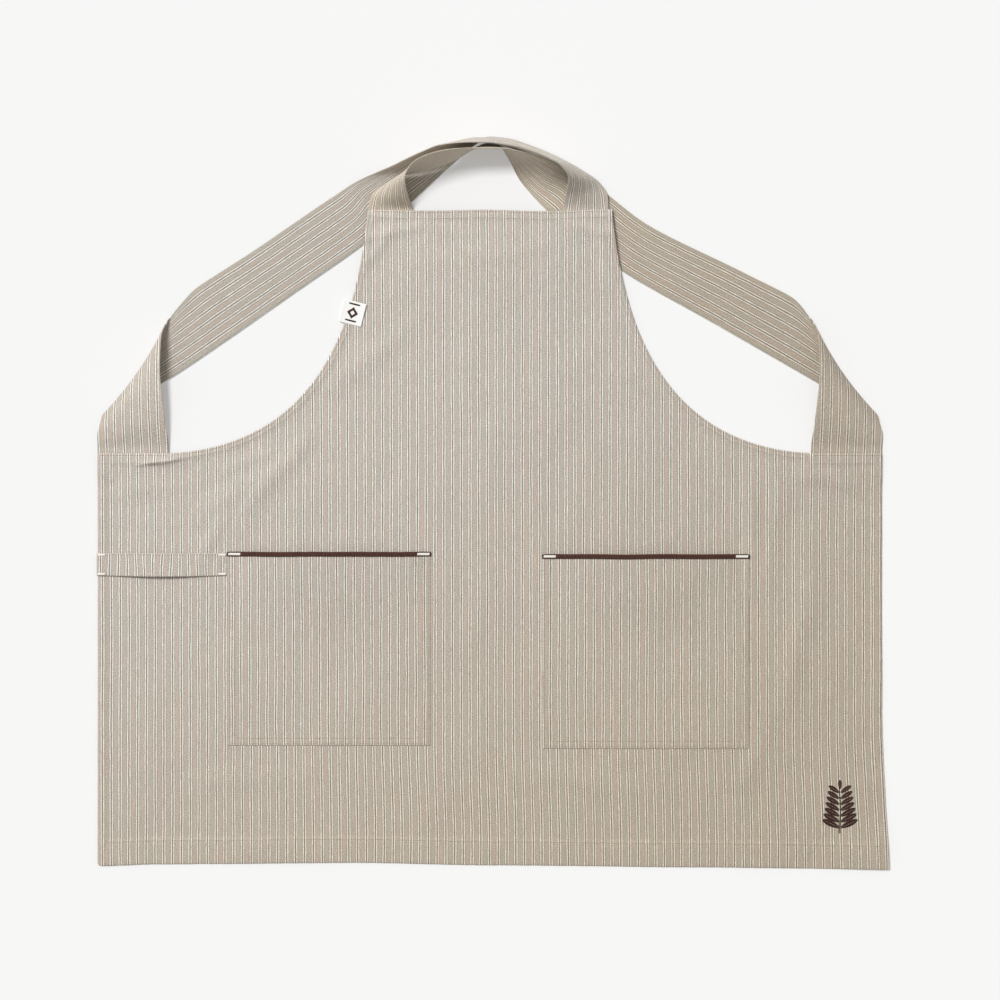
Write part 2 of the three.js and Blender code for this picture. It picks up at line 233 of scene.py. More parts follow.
class ApronStageSettings(bpy.types.PropertyGroup):
    """Floor, light and camera."""

    camera_height: FloatProperty(name="Camera height", description="How far above the apron the camera hangs",
                                 default=2.75, min=1.0, max=10.0, unit="LENGTH")
    view_width: FloatProperty(name="View width", description="Width of table in the picture",
                              default=1.25, min=0.5, max=5.0, unit="LENGTH")
    key: FloatProperty(name="Key light", description="Share of the light that comes from the key light",
                       default=0.6, min=0.0, max=1.0, subtype="FACTOR")
    floor_glow: FloatProperty(name="Floor glow", description="How much of the floor is lit from below",
                              default=0.2, min=0.0, max=1.0, subtype="FACTOR")


# ---------------------------------------------------------------- small maths
def smooth(t):
    s = min(1.0, max(0.0, t))
    return s * s * (3 - 2 * s)


def rounded(distance, radius):
    """0 on an edge that is rounded over, 1 from its radius inwards."""
    s = 1 - min(1.0, max(0.0, distance / radius))
    return math.sqrt(max(0.0, 1 - s * s))


def slope_at(values, i):
    """Slope at a station that keeps a cubic through the stations free of overshoot."""
    if i == 0 or i == len(values) - 1:
        return 0.0
    before, after = values[i] - values[i - 1], values[i + 1] - values[i]
    return 0.0 if before * after <= 0 else 2 * before * after / (before + after)


def smooth_value(values, position):
    i = min(len(values) - 2, int(position))
    t = position - i
    h = t * t * (3 - 2 * t)
    return (values[i] * (1 - h) + values[i + 1] * h
            + slope_at(values, i) * (t * (1 - t) * (1 - t)) - slope_at(values, i + 1) * (t * t * (1 - t)))


def wave_at(stations, x):
    """A smooth curve through (x, offset) stations."""
    for (x0, a), (x1, b) in zip(stations, stations[1:]):
        if x <= x1:
            return a + (b - a) * smooth((x - x0) / (x1 - x0))
    return stations[-1][1]


# ---------------------------------------------------------------- outline of the apron front
def side_x(side, y):
    """The outer side edge, which swings out a little towards the bottom right corner."""
    return side * (HALF_WIDTH + (FLARE * smooth((-250 - y) / 240) if side > 0 else 0.0))


def bottom_y(x):
    return SKIRT_BOTTOM + wave_at(BOTTOM_WAVE, x)


def top_y(x):
    return BIB_TOP + wave_at(TOP_WAVE, x)


def armhole_point(t):
    (ax, ay), (bx, by), (cx, cy), (dx, dy) = ARMHOLE
    s = 1 - t
    w = (s * s * s, 3 * s * s * t, 3 * s * t * t, t * t * t)
    return (w[0] * ax + w[1] * bx + w[2] * cx + w[3] * dx, w[0] * ay + w[1] * by + w[2] * cy + w[3] * dy)


ARMHOLE_LINE = [armhole_point(i / 240) for i in range(241)]
ARMHOLE_TREE = kdtree.KDTree(len(ARMHOLE_LINE))
for index, (px, py) in enumerate(ARMHOLE_LINE):
    ARMHOLE_TREE.insert((px, py, 0.0), index)
ARMHOLE_TREE.balance()


def armhole_distance(x, y):
    """How far a point of the front lies from the armhole edge."""
    _, i, _ = ARMHOLE_TREE.find((abs(x), y, 0.0))
    best = 1e9
    for a, b in ((i - 1, i), (i, i + 1)):
        if a < 0 or b >= len(ARMHOLE_LINE):
            continue
        (ax, ay), (bx, by) = ARMHOLE_LINE[a], ARMHOLE_LINE[b]
        ux, uy = bx - ax, by - ay
        t = min(1.0, max(0.0, ((abs(x) - ax) * ux + (y - ay) * uy) / (ux * ux + uy * uy)))
        best = min(best, math.hypot(abs(x) - ax - t * ux, y - ay - t * uy))
    return best


def edge_distances(x, y):
    """(distance, hem width) to each edge that a point of the front can be near."""
    side = 1 if x > 0 else -1
    found = [(side * (side_x(side, y) - x), SIDE_HEM) if y < HIP_Y + 1 else (1e3, SIDE_HEM),
             (y - bottom_y(x), BOTTOM_HEM)]
    if y > 0:
        found.append((armhole_distance(x, y), ARMHOLE_HEM))
        if abs(x) > HIP_X - 2:
            found.append((HIP_Y - y, HIP_HEM))
        if y > BIB_TOP - 40:
            found.append((top_y(x) - y, TOP_HEM))
    return found


# ---------------------------------------------------------------- how high the cloth lies
def crease_height(x, y):
    total = 0.0
    for cx, cy, angle, half_length, half_width, height in CREASES:
        dx, dy = x - cx, y - cy
        if abs(dx) + abs(dy) > 2.5 * (half_length + half_width):
            continue
        turn = math.radians(angle)
        along = (dx * math.cos(turn) + dy * math.sin(turn)) / half_length
        across = (-dx * math.sin(turn) + dy * math.cos(turn)) / half_width + 0.25 * math.sin(3 * along)
        if abs(along) < 1.4:
            total += height * math.exp(-across * across) * (1 - smooth((abs(along) - 0.3) / 1.1))
    return total


def ripple(x, y):
    """Slow unevenness of cloth that has been folded and laid out again."""
    slow = noise.noise(Vector((x / 95, y / 120, 3.7)))
    fine = noise.noise(Vector((x / 34, y / 46, 9.1)))
    return 1.6 * (slow + 0.6) + 0.75 * (fine + 0.5)


def pucker(x, y):
    """The bottom hem and the side hems draw the cloth into short ripples."""
    near_bottom = smooth(1 - (y - bottom_y(x) - BOTTOM_HEM * 0.5) / (BOTTOM_HEM * 0.9))
    near_side = smooth(1 - (HALF_WIDTH - abs(x)) / 24) * smooth((HIP_Y - y) / 40)
    bottom = math.sin(x / 3.6 + 2.2 * math.sin(x / 41) + (y - SKIRT_BOTTOM) / 22)
    side = math.sin(y / 5.2 + 1.7 * math.sin(y / 37))
    return 0.24 * near_bottom * (1 + bottom) + 0.2 * near_side * (1 + side)


def cloth_floor(x, y, wrinkle=1.0):
    """Height of the underside of the front before its hems are turned."""
    lift = BIB_LIFT * smooth((y - 190) / 145)
    hip = HIP_LIFT * smooth((y - 12) / 32) * smooth((abs(x) - 372) / 30)
    corner = 5.5 * smooth((x - 400) / 100) * smooth((-375 - y) / 80)
    return lift + hip + corner + wrinkle * (crease_height(x, y) + ripple(x, y)) + pucker(x, y)


def hem_rise(x, y):
    """How far a hem's turned-under layer lifts the cloth over it."""
    rise = 0.0
    for distance, width in edge_distances(x, y):
        rise = max(rise, 1 - smooth((distance - width + 1.2) / 3.4))
    return (TURNED + LAYER_GAP) * rise


def roll_at(x, y):
    """0 on the folded edge, 1 once the cloth is past the fold's radius."""
    return rounded(min(distance for distance, _ in edge_distances(x, y)), ROLL)


def seam_dip(x, y):
    """Stitching pulls the two layers together."""
    dip = 0.0
    for distance, width in edge_distances(x, y):
        dip = max(dip, math.exp(-((distance - width + 1.6) / 1.1) ** 2))
    return 0.3 * dip


def cloth_top(x, y, wrinkle=1.0):
    """Height of the upper face of the front."""
    roll = roll_at(x, y)
    low = cloth_floor(x, y, wrinkle)
    return low + 0.25 + (hem_rise(x, y) + PANEL - 0.25 - seam_dip(x, y)) * roll


def cloth_bottom(x, y, wrinkle=1.0):
    return cloth_floor(x, y, wrinkle) + max(0.0, hem_rise(x, y) - seam_dip(x, y)) * smooth(roll_at(x, y))


def stripe_drift(x, y):
    """The yarns lean right towards the bottom hem."""
    lean = 2.6 * smooth((-295 - y) / 130) * smooth((x + 330) / 260)
    swing = 0.5 * (side_x(1, y) - HALF_WIDTH) * smooth((x - 330) / 160)
    return lean + swing + 0.5 * noise.noise(Vector((x / 60, y / 75, 5.5)))


def front_cloth(x, y):
    """Where a place on the front lies in the cloth."""
    return x + STRIPE_START - stripe_drift(x, y), y


# ---------------------------------------------------------------- meshes
def finish_mesh(name, points, faces, uvs, material):
    """A mesh object from points in millimetres and cloth coordinates in millimetres."""
    mesh = bpy.data.meshes.new(name)
    mesh.from_pydata([(x * MM, y * MM, z * MM) for x, y, z in points], [], faces)
    layer = mesh.uv_layers.new(name="Cloth")
    for loop in mesh.loops:
        u, v = uvs[loop.vertex_index]
        layer.data[loop.index].uv = (u * MM, v * MM)
    mesh.polygons.foreach_set("use_smooth", [True] * len(mesh.polygons))
    mesh.materials.append(material)
    mesh.update()
    piece = bpy.data.objects.new(name, mesh)
    bpy.context.scene.collection.objects.link(piece)
    return piece


def sheet_mesh(name, us, vs, place, material, cloth):
    """A closed sheet. place(u, v) gives (x, y, underside, upper side) and cloth(u, v) its cloth point."""
    columns, rows = len(us), len(vs)
    points, uvs = [], []
    for level in (0, 1):
        for v in vs:
            for u in us:
                x, y, low, high = place(u, v)
                points.append((x, y, high if level else low))
                uvs.append(cloth(u, v))

    def at(level, i, j):
        return level * columns * rows + j * columns + i

    faces = []
    for j in range(rows - 1):
        for i in range(columns - 1):
            faces.append((at(1, i, j), at(1, i + 1, j), at(1, i + 1, j + 1), at(1, i, j + 1)))
            faces.append((at(0, i, j + 1), at(0, i + 1, j + 1), at(0, i + 1, j), at(0, i, j)))
    rim = ([(i, 0) for i in range(columns)] + [(columns - 1, j) for j in range(1, rows)]
           + [(i, rows - 1) for i in range(columns - 2, -1, -1)] + [(0, j) for j in range(rows - 2, 0, -1)])
    for (i, j), (k, m) in zip(rim, rim[1:] + rim[:1]):
        faces.append((at(0, i, j), at(0, k, m), at(1, k, m), at(1, i, j)))
    return finish_mesh(name, points, faces, uvs, material)


def steps(start, end, count, fine=()):
    """Evenly spaced values from start to end, with closer ones at the given distances from both ends."""
    values = {start + (end - start) * i / count for i in range(count + 1)}
    reach = abs(end - start)
    sign = 1 if end > start else -1
    for f in fine:
        if f < reach / 2:
            values |= {start + sign * f, end - sign * f}
    return sorted(values, reverse=end < start)


def thread_mesh(name, stitches, radius, material):
    """Many short threads in one mesh. Each is a start, an end and the height of its arch."""
    sides, shares = 5, (0.0, 0.18, 0.5, 0.82, 1.0)
    points, faces, uvs = [], [], []
    for start, end, arch in stitches:
        start, end = Vector(start), Vector(end)
        along = end - start
        length = along.length
        along.normalize()
        across = along.cross(Vector((0, 0, 1))).normalized()
        first = len(points)
        for share in shares:
            centre = start.lerp(end, share)
            centre.z += arch * (1 - (2 * share - 1) ** 2)
            slim = 0.45 if share in (0.0, 1.0) else 1.0
            for k in range(sides):
                turn = 2 * math.pi * k / sides
                offset = (across * math.cos(turn) + Vector((0, 0, 1)) * math.sin(turn)) * radius * slim
                points.append(tuple(centre + offset))
                uvs.append((share * length, k * radius))
        for ring in range(len(shares) - 1):
            for k in range(sides):
                a, b = first + ring * sides + k, first + ring * sides + (k + 1) % sides
                faces.append((a, b, b + sides, a + sides))
        faces.append(tuple(first + k for k in reversed(range(sides))))
        faces.append(tuple(first + (len(shares) - 1) * sides + k for k in range(sides)))
    return finish_mesh(name, points, faces, uvs, material)


def stitch_row(path, height, stitch):
    """Stitches along a path of (x, y) points, lying on height(x, y)."""
    lengths = [0.0]
    for (ax, ay), (bx, by) in zip(path, path[1:]):
        lengths.append(lengths[-1] + math.hypot(bx - ax, by - ay))
    count = max(1, round(lengths[-1] / stitch))
    made, i = [], 0

    def point(distance):
        nonlocal i
        while i < len(lengths) - 2 and lengths[i + 1] < distance:
            i += 1
        span = lengths[i + 1] - lengths[i] or 1.0
        t = (distance - lengths[i]) / span
        (ax, ay), (bx, by) = path[i], path[i + 1]
        return ax + (bx - ax) * t, ay + (by - ay) * t

    for k in range(count):
        a = point(lengths[-1] * (k + NEEDLE_GAP / 2) / count)
        b = point(lengths[-1] * (k + 1 - NEEDLE_GAP / 2) / count)
        made.append(((*a, height(*a) - 0.05), (*b, height(*b) - 0.05), 0.32))
    return made


# ---------------------------------------------------------------- node materials
def add(tree, kind, inputs=(), **settings):
    """Adds a shader node, sets its properties, fills or links its inputs and returns its outputs."""
    made = tree.nodes.new("ShaderNode" + kind)
    for key, value in settings.items():
        setattr(made, key, value)
    for key, value in dict(inputs).items():
        if isinstance(value, bpy.types.NodeSocket):
            tree.links.new(value, made.inputs[key])
        else:
            made.inputs[key].default_value = value
    return made.outputs


def new_material(name):
    material = bpy.data.materials.get(name) or bpy.data.materials.new(name)
    material.use_nodes = True
    material.node_tree.nodes.clear()
    return material, material.node_tree


def surface(tree, colour, roughness, bump_height, bump_distance, sheen):
    """A cloth surface: colour, roughness and a bump in metres."""
    bump = add(tree, "Bump", {"Height": bump_height, "Distance": bump_distance, "Strength": 1.0})
    shader = add(tree, "BsdfPrincipled", {
        "Base Color": colour, "Roughness": roughness, "Normal": bump[0],
        "IOR": 1.45, "Specular IOR Level": 0.25, "Sheen Weight": sheen, "Sheen Roughness": 0.6})
    add(tree, "OutputMaterial", {"Surface": shader[0]})


def yarn_noise(tree, uv, across, along, detail=2.0):
    """Noise stretched to grains of the given millimetres across and along the threads."""
    scaled = add(tree, "VectorMath", {0: uv, 1: (1 / (across * MM), 1 / (along * MM), 1.0)},
                 operation="MULTIPLY")[0]
    return add(tree, "TexNoise", {"Vector": scaled, "Scale": 1.0, "Detail": detail})[0]


def stripe_share(tree, distance, middle, inner, outer, strength):
    """How strongly a line of the stripe shows: full within inner of middle, none at outer."""
    away = add(tree, "Math", {0: distance, 1: middle}, operation="SUBTRACT")[0]
    away = add(tree, "Math", {0: away}, operation="ABSOLUTE")[0]
    shown = add(tree, "MapRange", {0: away, 1: inner, 2: outer, 3: 1.0, 4: 0.0},
                interpolation_type="SMOOTHSTEP")[0]
    return add(tree, "Math", {0: shown, 1: strength}, operation="MULTIPLY")[0]


def striped_cotton(strap=None):
    """Yarn-dyed cotton with warp stripes, matt, a little fuzzy, with slubs in the yarn.

    A slow cool-to-warm tint over the front and a darker middle to each strap are fitted in place of uneven
    light. They belong to the look and not to the cloth.
    """
    material, tree = new_material(f"striped_cotton_{strap or 'cloth'}")
    cloth = bpy.context.scene.apron_cloth
    uv = add(tree, "UVMap", uv_map="Cloth")[0]
    split = add(tree, "SeparateXYZ", {0: uv})
    # warp threads wander by a fraction of a millimetre
    wander = add(tree, "Math", {0: yarn_noise(tree, uv, 6, 22), 1: 1.1 * MM, 2: -0.55 * MM},
                 operation="MULTIPLY_ADD")[0]
    across = add(tree, "Math", {0: split[0], 1: wander}, operation="ADD")[0]
    count = add(tree, "Math", {0: across, 1: cloth.stripe_pitch}, operation="DIVIDE")[0]
    whole = add(tree, "Math", {0: count}, operation="ROUND")[0]
    offset = add(tree, "Math", {0: count, 1: whole}, operation="SUBTRACT")[0]
    offset = add(tree, "Math", {0: offset, 1: cloth.stripe_pitch / MM}, operation="MULTIPLY")[0]
    distance = add(tree, "Math", {0: offset}, operation="ABSOLUTE")[0]
    # the ground alternates cool and warm bands, and each band drifts along its length
    place = add(tree, "Math", {0: count, 1: 1.7}, operation="MULTIPLY")[0]
    bands = add(tree, "TexNoise", {"W": place, "Scale": 1.0, "Detail": 1.0}, noise_dimensions="1D")[0]
    drift = add(tree, "Math", {0: bands, 1: yarn_noise(tree, uv, 7, 60)}, operation="ADD")[0]
    warm = add(tree, "Math", {0: drift, 1: 2.2, 2: -1.7}, operation="MULTIPLY_ADD", use_clamp=True)[0]
    worn = add(tree, "Math", {0: yarn_noise(tree, uv, 2.2, 7), 1: 1.3, 2: 0.12},
               operation="MULTIPLY_ADD", use_clamp=True)[0]
    # over it, in order: the shaded flanks, the two cream lines, the dark line between them
    woven = tuple(cloth.ground_cool)
    for share, yarn in ((warm, cloth.ground_warm),
                        (stripe_share(tree, distance, 2.65, 0.1, 0.7, 0.34), cloth.dark),
                        (stripe_share(tree, distance, 1.5, 0.34, 0.85, worn), cloth.cream),
                        (stripe_share(tree, distance, 0.0, 0.25, 0.8, 0.7), cloth.dark)):
        woven = add(tree, "Mix", {0: share, 6: woven, 7: tuple(yarn)}, data_type="RGBA")[2]
    # weft picks and slubs, drawn about three times coarser than the real 0.5 mm yarns so that they show
    weft = add(tree, "Math", {0: yarn_noise(tree, uv, 1.7, 1.2, 0.0), 1: 0.65}, operation="MULTIPLY")[0]
    slub = add(tree, "Math", {0: yarn_noise(tree, uv, 0.9, 16, 3.0), 1: 0.35, 2: weft},
               operation="MULTIPLY_ADD")[0]
    value = add(tree, "Math", {0: slub, 1: 1.15, 2: 0.425}, operation="MULTIPLY_ADD")[0]
    if strap:
        # painted light and shade: the strap's place on the tint, and painted shade along its middle length
        # between the neck and the hip
        share = STRAP_TINT[strap]
        darker = stripe_share(tree, split[1], 530 * MM, 170 * MM, 250 * MM, 0.14)
        kept = add(tree, "Math", {0: 1.0, 1: darker}, operation="SUBTRACT")[0]
        value = add(tree, "Math", {0: value, 1: kept}, operation="MULTIPLY")[0]
    else:
        # painted light: the tint warms slowly towards the hem and the right side
        down = add(tree, "Math", {0: split[1], 1: -1.0}, operation="MULTIPLY")[0]
        slant = add(tree, "Math", {0: split[0], 1: 0.5, 2: down}, operation="MULTIPLY_ADD")[0]
        share = add(tree, "MapRange", {0: slant, 1: -250 * MM, 2: 620 * MM, 3: 0.0, 4: 1.0},
                    interpolation_type="SMOOTHSTEP")[0]
    shaded = add(tree, "HueSaturation", {"Value": value, "Color": woven})[0]
    tint = add(tree, "Mix", {0: share, 6: (1.0, 1.011, 1.049, 1.0), 7: (1.0, 0.961, 0.897, 1.0)},
               data_type="RGBA")[2]
    shaded = add(tree, "Mix", {0: 1.0, 6: shaded, 7: tint}, data_type="RGBA", blend_type="MULTIPLY")[2]
    roughness = add(tree, "Math", {0: slub, 1: 0.15, 2: 0.8}, operation="MULTIPLY_ADD")[0]
    surface(tree, shaded, roughness, slub, 0.25 * MM, sheen=0.12)
    return material


def plain_fibre(name, dye, across, along, spread, roughness, bump):
    """Thread or tape: one colour that varies from fibre to fibre, with grain and bump in millimetres."""
    material, tree = new_material(name)
    uv = add(tree, "UVMap", uv_map="Cloth")[0]
    fibres = yarn_noise(tree, uv, across, along, 3.0)
    value = add(tree, "Math", {0: fibres, 1: spread, 2: 1 - spread / 2},
                operation="MULTIPLY_ADD")[0]
    colour = add(tree, "HueSaturation", {"Value": value, "Color": tuple(dye)})[0]
    rough = add(tree, "Math", {0: fibres, 1: 0.15, 2: roughness - 0.07},
                operation="MULTIPLY_ADD")[0]
    surface(tree, colour, rough, fibres, bump * MM, sheen=0.1)
    return material


def ribbed_binding():
    """Cotton grosgrain tape, dyed dark brown: fine ribs across it, matt with a faint sheen on each rib."""
    material, tree = new_material("brown_grosgrain_tape")
    trim = bpy.context.scene.apron_trim
    uv = add(tree, "UVMap", uv_map="Cloth")[0]
    split = add(tree, "SeparateXYZ", {0: uv})
    turns = add(tree, "Math", {0: split[0], 1: 2 * math.pi / (1.3 * MM)}, operation="MULTIPLY")
    ribs = add(tree, "Math", {0: turns[0]}, operation="SINE")[0]
    grain = add(tree, "TexNoise", {"Vector": uv, "Scale": 1 / (1.6 * MM), "Detail": 2.0})[0]
    mixed = add(tree, "Math", {0: ribs, 1: 0.16, 2: grain}, operation="MULTIPLY_ADD")[0]
    value = add(tree, "Math", {0: mixed, 1: 2.2, 2: -0.1}, operation="MULTIPLY_ADD")[0]
    colour = add(tree, "HueSaturation", {"Value": value, "Color": tuple(trim.binding_colour)})[0]
    rough = add(tree, "Math", {0: grain, 1: 0.2, 2: 0.65}, operation="MULTIPLY_ADD")[0]
    surface(tree, colour, rough, mixed, 0.2 * MM, sheen=0.15)
    return material


def seam_thread():
    """Polyester-cotton sewing thread, reddish brown, slightly glossy where it arches."""
    dye = bpy.context.scene.apron_trim.seam_colour
    return plain_fibre("seam_thread", dye, 0.5, 1.2, 0.5, 0.6, 0.05)


def tack_thread():
    """The same thread in off-white, laid in dense bars."""
    dye = bpy.context.scene.apron_trim.tack_colour
    return plain_fibre("white_tack_thread", dye, 0.6, 0.8, 0.14, 0.6, 0.05)


def label_tape():
    """Damask-woven polyester label, white, smooth, with fine crosswise picks."""
    dye = bpy.context.scene.apron_trim.label_colour
    return plain_fibre("white_label_tape", dye, 1.6, 0.7, 0.1, 0.7, 0.08)


def motif_thread():
    """Rayon embroidery thread, dark brown, with a satin gloss along each stitch."""
    dye = bpy.context.scene.apron_trim.motif_colour
    return plain_fibre("brown_embroidery_thread", dye, 0.6, 1.5, 0.5, 0.5, 0.05)


# ---------------------------------------------------------------- the front
def front_outline():
    """The front's edge, counter-clockwise from the bottom left, a point about every 3 mm."""
    points = []

    def run(count, at):
        points.extend(at(i / count) for i in range(count))

    def corner(cx, cy, radius, start):
        for i in range(5):
            turn = math.radians(start + 90 * i / 5)
            points.append((cx + radius * math.cos(turn), cy + radius * math.sin(turn)))

    left, right = side_x(-1, SKIRT_BOTTOM), side_x(1, SKIRT_BOTTOM)
    corner(left + 5, bottom_y(left + 5) + 5, 5, 180)
    run(320, lambda t: (left + 5 + t * (right - left - 7.5), bottom_y(left + 5 + t * (right - left - 7.5))))
    corner(right - 2.5, bottom_y(right - 2.5) + 2.5, 2.5, 270)
    rise = bottom_y(right) + 2.5
    run(170, lambda t: (side_x(1, rise + t * (HIP_Y - rise)), rise + t * (HIP_Y - rise)))
    run(30, lambda t: (HALF_WIDTH - t * (HALF_WIDTH - HIP_X), HIP_Y))
    run(130, lambda t: armhole_point(1 - t))
    top_left, top_right = -BIB_HALF, BIB_HALF
    run(100, lambda t: (top_right - t * (top_right - top_left),
                        top_y(top_right - t * (top_right - top_left))))
    run(130, lambda t: (-armhole_point(t)[0], armhole_point(t)[1]))
    run(30, lambda t: (-HIP_X - t * (HALF_WIDTH - HIP_X), HIP_Y))
    rise = bottom_y(left) + 5
    run(170, lambda t: (left, HIP_Y + t * (rise - HIP_Y)))
    return points


def inside_front(x, y, margin):
    return all(distance > margin for distance, _ in edge_distances(x, y)) and (
        abs(x) < HALF_WIDTH + FLARE and (y < HIP_Y or in_bib(x, y)))


def in_bib(x, y):
    """True above the hips only between the two armholes."""
    for (ax, ay), (bx, by) in zip(ARMHOLE_LINE, ARMHOLE_LINE[1:]):
        if by <= y <= ay:
            return abs(x) < ax + (bx - ax) * ((y - ay) / (by - ay or 1))
    return False


def front_points(outline, step):
    """Points inside the outline: close rows beside the edges and hem ridges, a staggered grid elsewhere."""
    points = []
    count = len(outline)
    for i, (x, y) in enumerate(outline):
        (ax, ay), (bx, by) = outline[i - 1], outline[(i + 1) % count]
        length = math.hypot(bx - ax, by - ay) or 1.0
        nx, ny = -(by - ay) / length, (bx - ax) / length
        found = sorted(edge_distances(x, y))
        width = found[0][1]
        for inset in (0.35, 0.9, ROLL, width - 2.4, width - 1.0, width + 0.6, width + 2.4):
            px, py = x + nx * inset, y + ny * inset
            if inside_front(px, py, inset * 0.86):
                points.append((px, py))
    for cx, cy, angle, half_length, half_width, _ in CREASES:
        if half_width < 5:
            turn = math.radians(angle)
            for i in range(-12, 13):
                for k in (-2.1, -1.5, -1, -0.5, 0, 0.5, 1, 1.5, 2.1):
                    along, across = half_length * i / 9, half_width * (k + 0.3 * (i % 2))
                    x = cx + along * math.cos(turn) - across * math.sin(turn)
                    y = cy + along * math.sin(turn) + across * math.cos(turn)
                    if inside_front(x, y, 2.3):
                        points.append((x, y))
    row, y = 0, SKIRT_BOTTOM - 4
    while y < BIB_TOP + 3:
        x = -HALF_WIDTH - FLARE + (step / 2 if row % 2 else 0)
        while x < HALF_WIDTH + FLARE:
            if inside_front(x, y, 2.3):
                points.append((x, y))
            x += step
        y += step * 0.87
        row += 1
    return points


def front_mesh(name, material, step, wrinkle):
    outline = front_outline()
    flat = [Vector(p) for p in outline + front_points(outline, step)]
    edge_count = len(outline)
    edges = [(i, (i + 1) % edge_count) for i in range(edge_count)]
    verts, _, triangles, sources, _, _ = geometry.delaunay_2d_cdt(
        flat, edges, [list(range(edge_count))], 1, 1e-5)
    order = {}
    for i, origins in enumerate(sources):
        for origin in origins:
            if origin < edge_count:
                order[origin] = i
    rim = [order[i] for i in range(edge_count)]
    total = len(verts)
    points = [(v.x, v.y, cloth_bottom(v.x, v.y, wrinkle)) for v in verts]
    points += [(v.x, v.y, cloth_top(v.x, v.y, wrinkle)) for v in verts]
    uvs = [front_cloth(v.x, v.y) for v in verts] * 2
    faces = []
    for tri in triangles:
        a, b, c = (verts[i] for i in tri)
        if (b - a).cross(c - a) < 0:
            tri = tri[::-1]
        faces.append(tuple(total + i for i in tri))
        faces.append(tuple(reversed(tri)))
    for a, b in zip(rim, rim[1:] + rim[:1]):
        faces.append((a, b, total + b, total + a))
    return finish_mesh(name, points, faces, uvs, material)


def across_fold(piece):
    """Cloth that runs over the fold line keeps the place it has: its transform is baked into the mesh."""
    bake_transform(piece)


class APRON_OT_front(bpy.types.Operator):
    """Make the front: bib and skirt in one piece of cloth, with its edges folded under"""

    bl_idname = "apron.front"
    bl_label = "Front panel"

    def execute(self, context):
        cloth = context.scene.apron_cloth
        piece = front_mesh("front_panel", striped_cotton(), cloth.mesh_step / MM, cloth.wrinkle)
        across_fold(piece)
        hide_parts("bib_panel", "skirt_panel")
        return {"FINISHED"}


# ---------------------------------------------------------------- hems
def turned_layer(name, us, vs, place, material, wrinkle):
    """The layer of a hem that is folded to the back. place(u, v) gives (x, y)."""
    def shaped(u, v):
        x, y = place(u, v)
        low = cloth_floor(x, y, wrinkle)
        edge = smooth(min(u, 1 - u, v, 1 - v) / 0.04)
        high = max(low + 0.3, cloth_bottom(x, y, wrinkle) - LAYER_GAP)
        return x, y, low + 0.08 * (1 - edge), low + 0.3 + (high - low - 0.3) * (0.5 + 0.5 * edge)

    def cloth(u, v):
        return front_cloth(*place(u, v))

    return sheet_mesh(name, us, vs, shaped, material, cloth)


def offset_path(points, inset):
    """A path moved to its left by inset."""
    moved = []
    for i, (x, y) in enumerate(points):
        ax, ay = points[max(0, i - 1)]
        bx, by = points[min(len(points) - 1, i + 1)]
        length = math.hypot(bx - ax, by - ay) or 1.0
        moved.append((x - (by - ay) / length * inset, y + (bx - ax) / length * inset))
    return moved


def edge_path(kind, side=1):
    """An edge of the front as a path whose left side is the cloth."""
    if kind == "bottom":
        span = side_x(1, SKIRT_BOTTOM) - side_x(-1, SKIRT_BOTTOM)
        xs = [side_x(-1, SKIRT_BOTTOM) + span * i / 240 for i in range(241)]
        return [(x, bottom_y(x)) for x in xs]
    if kind == "top":
        xs = [BIB_HALF - 2 * BIB_HALF * i / 100 for i in range(101)]
        return [(x, top_y(x)) for x in xs]
    if kind == "hip":
        xs = [HALF_WIDTH - (HALF_WIDTH - HIP_X) * i / 30 for i in range(31)]
        path = [(side * x, HIP_Y) for x in xs]
    elif kind == "armhole":
        path = [(side * x, y) for x, y in reversed(ARMHOLE_LINE[::2])]
    else:
        ys = [SKIRT_BOTTOM + (HIP_Y - SKIRT_BOTTOM) * i / 170 for i in range(171)]
        path = [(side_x(side, y), y) for y in ys]
    return path if side > 0 else path[::-1]


def trimmed(path, test):
    return [p for p in path if test(*p)]


def hem_strip(name, path, width, material, wrinkle):
    """The turned-under layer along a path, from just inside the fold to the hem's width."""
    near, far = offset_path(path, ROLL + 0.15), offset_path(path, width)
    last = len(path) - 1

    def place(u, v):
        i = round(u * last)
        return near[i][0] + (far[i][0] - near[i][0]) * v, near[i][1] + (far[i][1] - near[i][1]) * v

    us = [i / last for i in range(last + 1)]
    return turned_layer(name, us, [0, 0.04, 0.12, 0.35, 0.65, 0.88, 0.96, 1], place, material, wrinkle)


